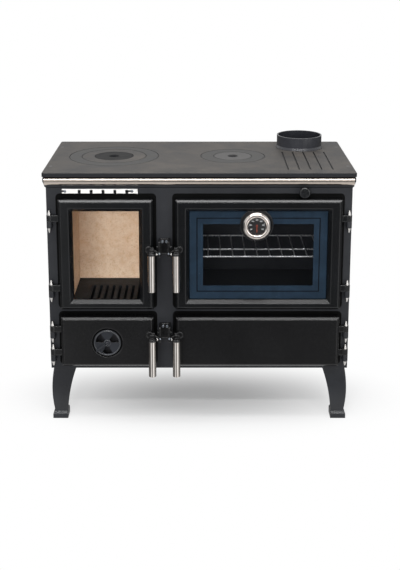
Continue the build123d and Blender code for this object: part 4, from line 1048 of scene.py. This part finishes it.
@dataclass
class Thermometer(Assembly):
    """The oven thermometer: case, dial with its print, pointer, and the domed glass over them."""

    numerals: tuple = ("50", "100", "150", "200", "250", "300", "350")
    sweep_deg: float = 240.0
    pointer_gap: float = 0.29   # the print's back behind the pointer
    tick_radius: float = 23.0
    long_tick: tuple = (0.6, 2.2)       # width and length
    short_tick: tuple = (0.3, 1.21)
    tick_round: float = 0.4     # share of a tick's width that its rounded corners take
    fine_ticks: int = 5         # ticks from one number to the next
    numeral_radius: float = 18.4
    type_size: float = 4.995    # a figure is three quarters of this high
    type_weight: float = 0.05   # how much fatter the figures are drawn
    ink: float = 0.08
    lens_radius: float = 25.0
    lens_rise: float = 1.8
    lens_thick: float = 0.6     # at its rim
    lens_seat: float = 2.2      # its rim behind the case's front
    bezel: tuple = (26.6, 37.5)         # inner and outer radius
    bezel_rise: float = 3.6
    bezel_lift: float = 0.4
    bezel_root: float = 1.2
    finishes: tuple = ((BEZEL_STEEL, "thermometer_case"), (DIAL_BLACK, "thermometer_dial"),
                       (POINTER_RED, "thermometer_pointer"))

    def build(self) -> list[Piece]:
        """Makes the dial's ticks and numbers, the glass and the rolled ring round it.

        Returns:
            The pieces made.
        """
        case_low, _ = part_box("thermometer_case")
        _, pointer_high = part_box("thermometer_pointer")
        centre = middle_of("thermometer_case")
        face = at_depth(centre, pointer_high.y + self.pointer_gap * MM)
        start = -self.sweep_deg / 2
        step = self.sweep_deg / (len(self.numerals) - 1)
        ticks = []
        for i in range((len(self.numerals) - 1) * self.fine_ticks + 1):
            width, length = self.short_tick if i % self.fine_ticks else self.long_tick
            tick = plate(width, length, self.ink, width * self.tick_round, 3)
            turn = start + i * step / self.fine_ticks
            ticks.append(self.place(tick, turn, self.tick_radius - length / 2, face, -turn))
        figures = [self.place(self.figure(text), start + i * step, self.numeral_radius, face)
                   for i, text in enumerate(self.numerals)]
        lens = [*dome(self.lens_radius, self.lens_rise, (0.0, 0.35, 0.7, 1.0, 1.25)), (self.lens_radius, 0.0),
                (self.lens_radius, self.lens_thick), (0.0, self.lens_thick)]
        ring = arch(*self.bezel, self.bezel_rise, self.bezel_root, 12, self.bezel_lift)
        front = at_depth(centre, case_low.y)
        lens_seat = at_depth(centre, case_low.y + self.lens_seat * MM)
        return [settle(piece, f"thermometer_{name}", finish, "oven_door") for piece, name, finish, slot in (
            (join(ticks), "ticks", DIAL_WHITE, "dial_face"), (join(figures), "numbers", DIAL_WHITE, "dial_face"),
            (lathe(lens, lens_seat), "glass", LENS_PANE, "dial_face"),
            (lathe(ring, front, 72), "bezel", BEZEL_STEEL, "polished_steel"))]

    def figure(self, text: str) -> Piece:
        """A printed number, in XY.

        Args:
            text: The number.

        Returns:
            Its mesh.
        """
        bpy.ops.object.text_add()
        letters = bpy.context.object.data
        letters.body = text
        letters.size = self.type_size * MM
        letters.align_x = letters.align_y = "CENTER"
        letters.extrude = self.ink * MM / 2
        letters.offset = self.type_weight * MM
        bpy.ops.object.convert(target="MESH")
        return bpy.context.object

    def place(self, piece: Piece, angle: float, radius: float, face: Vector, tilt: float = 0.0) -> Piece:
        """Puts a flat mark on the dial.

        Args:
            piece: The mark, drawn in XY and facing +Z.
            angle: Clockwise from the top, in degrees.
            radius: Distance from the dial's centre in millimetres.
            face: The dial's centre on its face, in metres.
            tilt: The mark's own turn in degrees, counter-clockwise.

        Returns:
            The mark.
        """
        turn = math.radians(angle)
        piece.rotation_euler.z = math.radians(tilt)
        bake(piece)
        return stand(piece, face + Vector((math.sin(turn), 0, math.cos(turn))) * radius * MM)


@dataclass
class RopeSeals:
    """The glass-fibre ropes in the doors' grooves, pressed flat against the front."""

    corner: float = 9.0
    strand_side: float = 8.0
    fill: float = 0.98          # how much of its groove a rope's thickness takes
    smooth_deg: float = 60.0

    def build(self) -> list[Piece]:
        """Makes a rope for each door, as a rounded tube round its groove.

        Returns:
            The four ropes.
        """
        made = []
        half = self.strand_side * MM / 2
        for door in DOORS:
            node = f"{door}_door_seal"
            low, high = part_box(node)
            open_plane(high.x - low.x - 2 * half, high.z - low.z - 2 * half)
            bpy.ops.mesh.bevel(offset=self.corner * MM, segments=6, affect="VERTICES")
            bpy.ops.mesh.delete(type="ONLY_FACE")
            bpy.ops.object.mode_set(mode="OBJECT")
            bpy.ops.object.convert(target="CURVE")
            path = bpy.context.object.data
            path.bevel_depth = half * self.fill
            path.bevel_resolution = 3
            bpy.ops.object.convert(target="MESH")
            piece = stand(bpy.context.object, (low + high) / 2)
            piece.scale = (1, 1, (high.y - low.y) / (2 * half))
            settle(piece, f"{door}_door_rope", ROPE, f"{door}_door", self.smooth_deg)
            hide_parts(node)
            made.append(piece)
        return made


@dataclass(frozen=True)
class Lamp:
    """A rectangular soft lamp, with its size in metres."""

    name: str
    place: tuple
    size: tuple
    watts: float
    mirrored: bool = True       # whether glossy surfaces show it

    def build(self, aim: Vector) -> None:
        """Hangs the lamp and turns it to a point.

        Args:
            aim: The point, in metres.
        """
        data = bpy.data.lights.new(self.name, "AREA")
        data.shape = "RECTANGLE"
        data.size, data.size_y = self.size
        data.energy = self.watts
        lamp = bpy.data.objects.new(self.name, data)
        bpy.context.scene.collection.objects.link(lamp)
        lamp.location = self.place
        lamp.visible_glossy = self.mirrored
        lamp.rotation_euler = (aim - Vector(self.place)).to_track_quat("-Z", "Y").to_euler()


@dataclass
class Studio:
    """White floor, soft lamps, a plain world and the camera."""

    camera_place: tuple = (2.2, -3100.0, 1450.0)
    pitch_deg: float = 12.53
    focal_px: float = 1050.0
    long_side_px: float = 570.0
    sensor_mm: float = 36.0
    shift: float = -0.22
    floor_radius: float = 1.5
    floor_squeeze: float = 0.43         # the shadow is this much shorter front to back than side to side
    shadow_middle: float = -0.03
    shadow_span: tuple = (0.03, 0.32)   # the shadow is whole up to the first and gone from the second
    floor_grey: float = 0.55
    floor_lift: float = 0.14            # white added to the floor near the stove, which lightens the shadow
    room_tint: str = "#F1F3F6"
    room_strength: float = 0.42
    mirror_strength: float = 1.1
    boxes_turn: float = math.radians(100)   # how far round the soft boxes stand, to each side of straight ahead
    # Soft boxes from left to right: a dull one, a bright one, a black gap for the polished edges, a white one.
    boxes: tuple = ((0.19, 0.05), (0.21, 0.42), (0.345, 0.42), (0.36, 0.85), (0.445, 0.85), (0.46, 0.03),
                    (0.56, 0.03), (0.58, 1.0), (0.77, 1.0), (0.80, 0.2))
    # Levels from straight down at 0 to straight up at 1. The soft boxes show where `walls_share` is 0.
    walls_share: tuple = ((0.25, 1.0), (0.29, 0.0), (0.50, 0.0), (0.54, 1.0))
    # Pale floor, dark skirting that draws the handles' edges, white wall, and a duller ceiling.
    walls: tuple = ((0.26, 0.8), (0.30, 0.12), (0.48, 0.12), (0.54, 0.9), (0.80, 0.9), (0.87, 0.4))
    aim: tuple = (0.0, 0.0, 0.45)
    # A broad lamp and two strips above, a soft lamp by the camera that isn't mirrored, and a strip at each side.
    lamps: tuple = (Lamp("overhead", (0.0, 0.1, 3.2), (3.0, 1.2), 50.0),
                    Lamp("steep_strip", (0.0, -1.0, 3.15), (2.8, 0.45), 38.0),
                    Lamp("high_strip", (0.0, -2.3, 2.6), (2.8, 0.2), 36.0),
                    Lamp("front_fill", (-0.5, -3.3, 1.15), (1.3, 1.0), 91.0, mirrored=False),
                    Lamp("left_strip", (-2.3, -3.0, 1.3), (0.5, 2.6), 7.0),
                    Lamp("right_strip", (1.9, -3.2, 1.3), (0.5, 2.6), 20.0))

    def build(self) -> None:
        """Sets up floor, lamps, world and camera."""
        self.floor()
        for lamp in self.lamps:
            lamp.build(Vector(self.aim))
        self.world()
        self.camera()

    def floor(self) -> None:
        """A matt floor that holds the stove's shadow; further out it glows, and is as white as the world."""
        bpy.ops.mesh.primitive_circle_add(vertices=96, radius=self.floor_radius, fill_type="NGON")
        floor = bpy.context.object
        floor.name = "studio_floor"
        material = bpy.data.materials.new("studio_floor")
        net = Net(material)
        oval = net.add_node("Mapping", {"Vector": net.spots, "Location": (0.0, -self.shadow_middle, 0.0),
                                        "Scale": (self.floor_squeeze, 1.0, 1.0)})
        reach = net.add_node("VectorMath", {0: oval}, operation="LENGTH").outputs["Value"]
        fade = net.remap(reach, self.shadow_span, self.floor_lift, 1.0, soft=True)
        pale = net.remap(reach, self.shadow_span, self.floor_grey, 0.0, soft=True)
        glow = net.add_node("Emission", {"Color": "#FFFFFF", "Strength": net.calc("MULTIPLY", fade, net.seen())})
        matt = net.add_node("BsdfDiffuse", {"Color": pale})
        net.add_node("OutputMaterial", {"Surface": net.add_node("AddShader", {0: glow, 1: matt})})
        floor.data.materials.append(material)
        floor.visible_glossy = False

    def world(self) -> None:
        """White to the camera, walls and soft boxes to what is polished, and an even grey room as light."""
        world = bpy.data.worlds.new("studio")
        net = Net(world)
        white, room, mirror = (
            net.add_node("Background", {"Color": shade, "Strength": strength})
            for shade, strength in (("#FFFFFF", 1.0), (self.room_tint, self.room_strength),
                                    (self.surroundings(net), self.mirror_strength)))
        glossy = net.add_node("LightPath").outputs["Is Glossy Ray"]
        shown = net.add_node("MixShader", {0: glossy, 1: room, 2: mirror})
        net.add_node("OutputWorld", {"Surface": net.add_node("MixShader", {0: net.seen(), 1: shown, 2: white})})
        bpy.context.scene.world = world

    def surroundings(self, net: Net) -> Socket:
        """What polished metal shows: walls by their level, and a row of soft boxes low down before the stove.

        Args:
            net: The world's node tree.

        Returns:
            The colour by direction.
        """
        across, away, up = (net.part_of(net.toward, axis) for axis in "XYZ")
        turn = net.calc("ARCTAN2", across, net.calc("MULTIPLY", away, -1.0))
        boxes = net.ramp(net.remap(turn, (-self.boxes_turn, self.boxes_turn)), *self.boxes)
        level = net.remap(up, (-1.0, 1.0))
        share = net.calc("MAXIMUM", net.ramp(level, *self.walls_share), net.remap(away, (0.0, 0.15)))
        return net.mixed(share, boxes, net.ramp(level, *self.walls))

    def camera(self) -> None:
        """The photograph's viewpoint, with the frame moved down so that little tilt is needed."""
        data = bpy.data.cameras.new("camera")
        data.sensor_width = self.sensor_mm
        data.lens = self.focal_px * self.sensor_mm / self.long_side_px
        data.shift_y = self.shift
        data.clip_end = 100.0
        camera = bpy.data.objects.new("camera", data)
        bpy.context.scene.collection.objects.link(camera)
        camera.location = Vector(self.camera_place) * MM
        camera.rotation_euler = (math.radians(90 - self.pitch_deg), 0, 0)
        bpy.context.scene.camera = camera


def main() -> None:
    """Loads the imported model, dresses it and builds the studio."""
    logging.basicConfig(level=logging.INFO, format="%(name)s: %(message)s")
    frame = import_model()
    bpy.ops.object.select_all(action="DESELECT")
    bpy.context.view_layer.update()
    thermometer = Thermometer()
    for part in (Cooktop(), Body(), Insides(), Doors(), thermometer):
        part.dress(frame)
    for part in (thermometer, OvenPrint(), RopeSeals(), LatchRivets(), WheelRelief(), DoorShadowBands(), AirBaffle(),
                 Studio()):
        part.build()
    bpy.context.scene.view_settings.view_transform = "Standard"


if __name__ == "__main__":
    main()
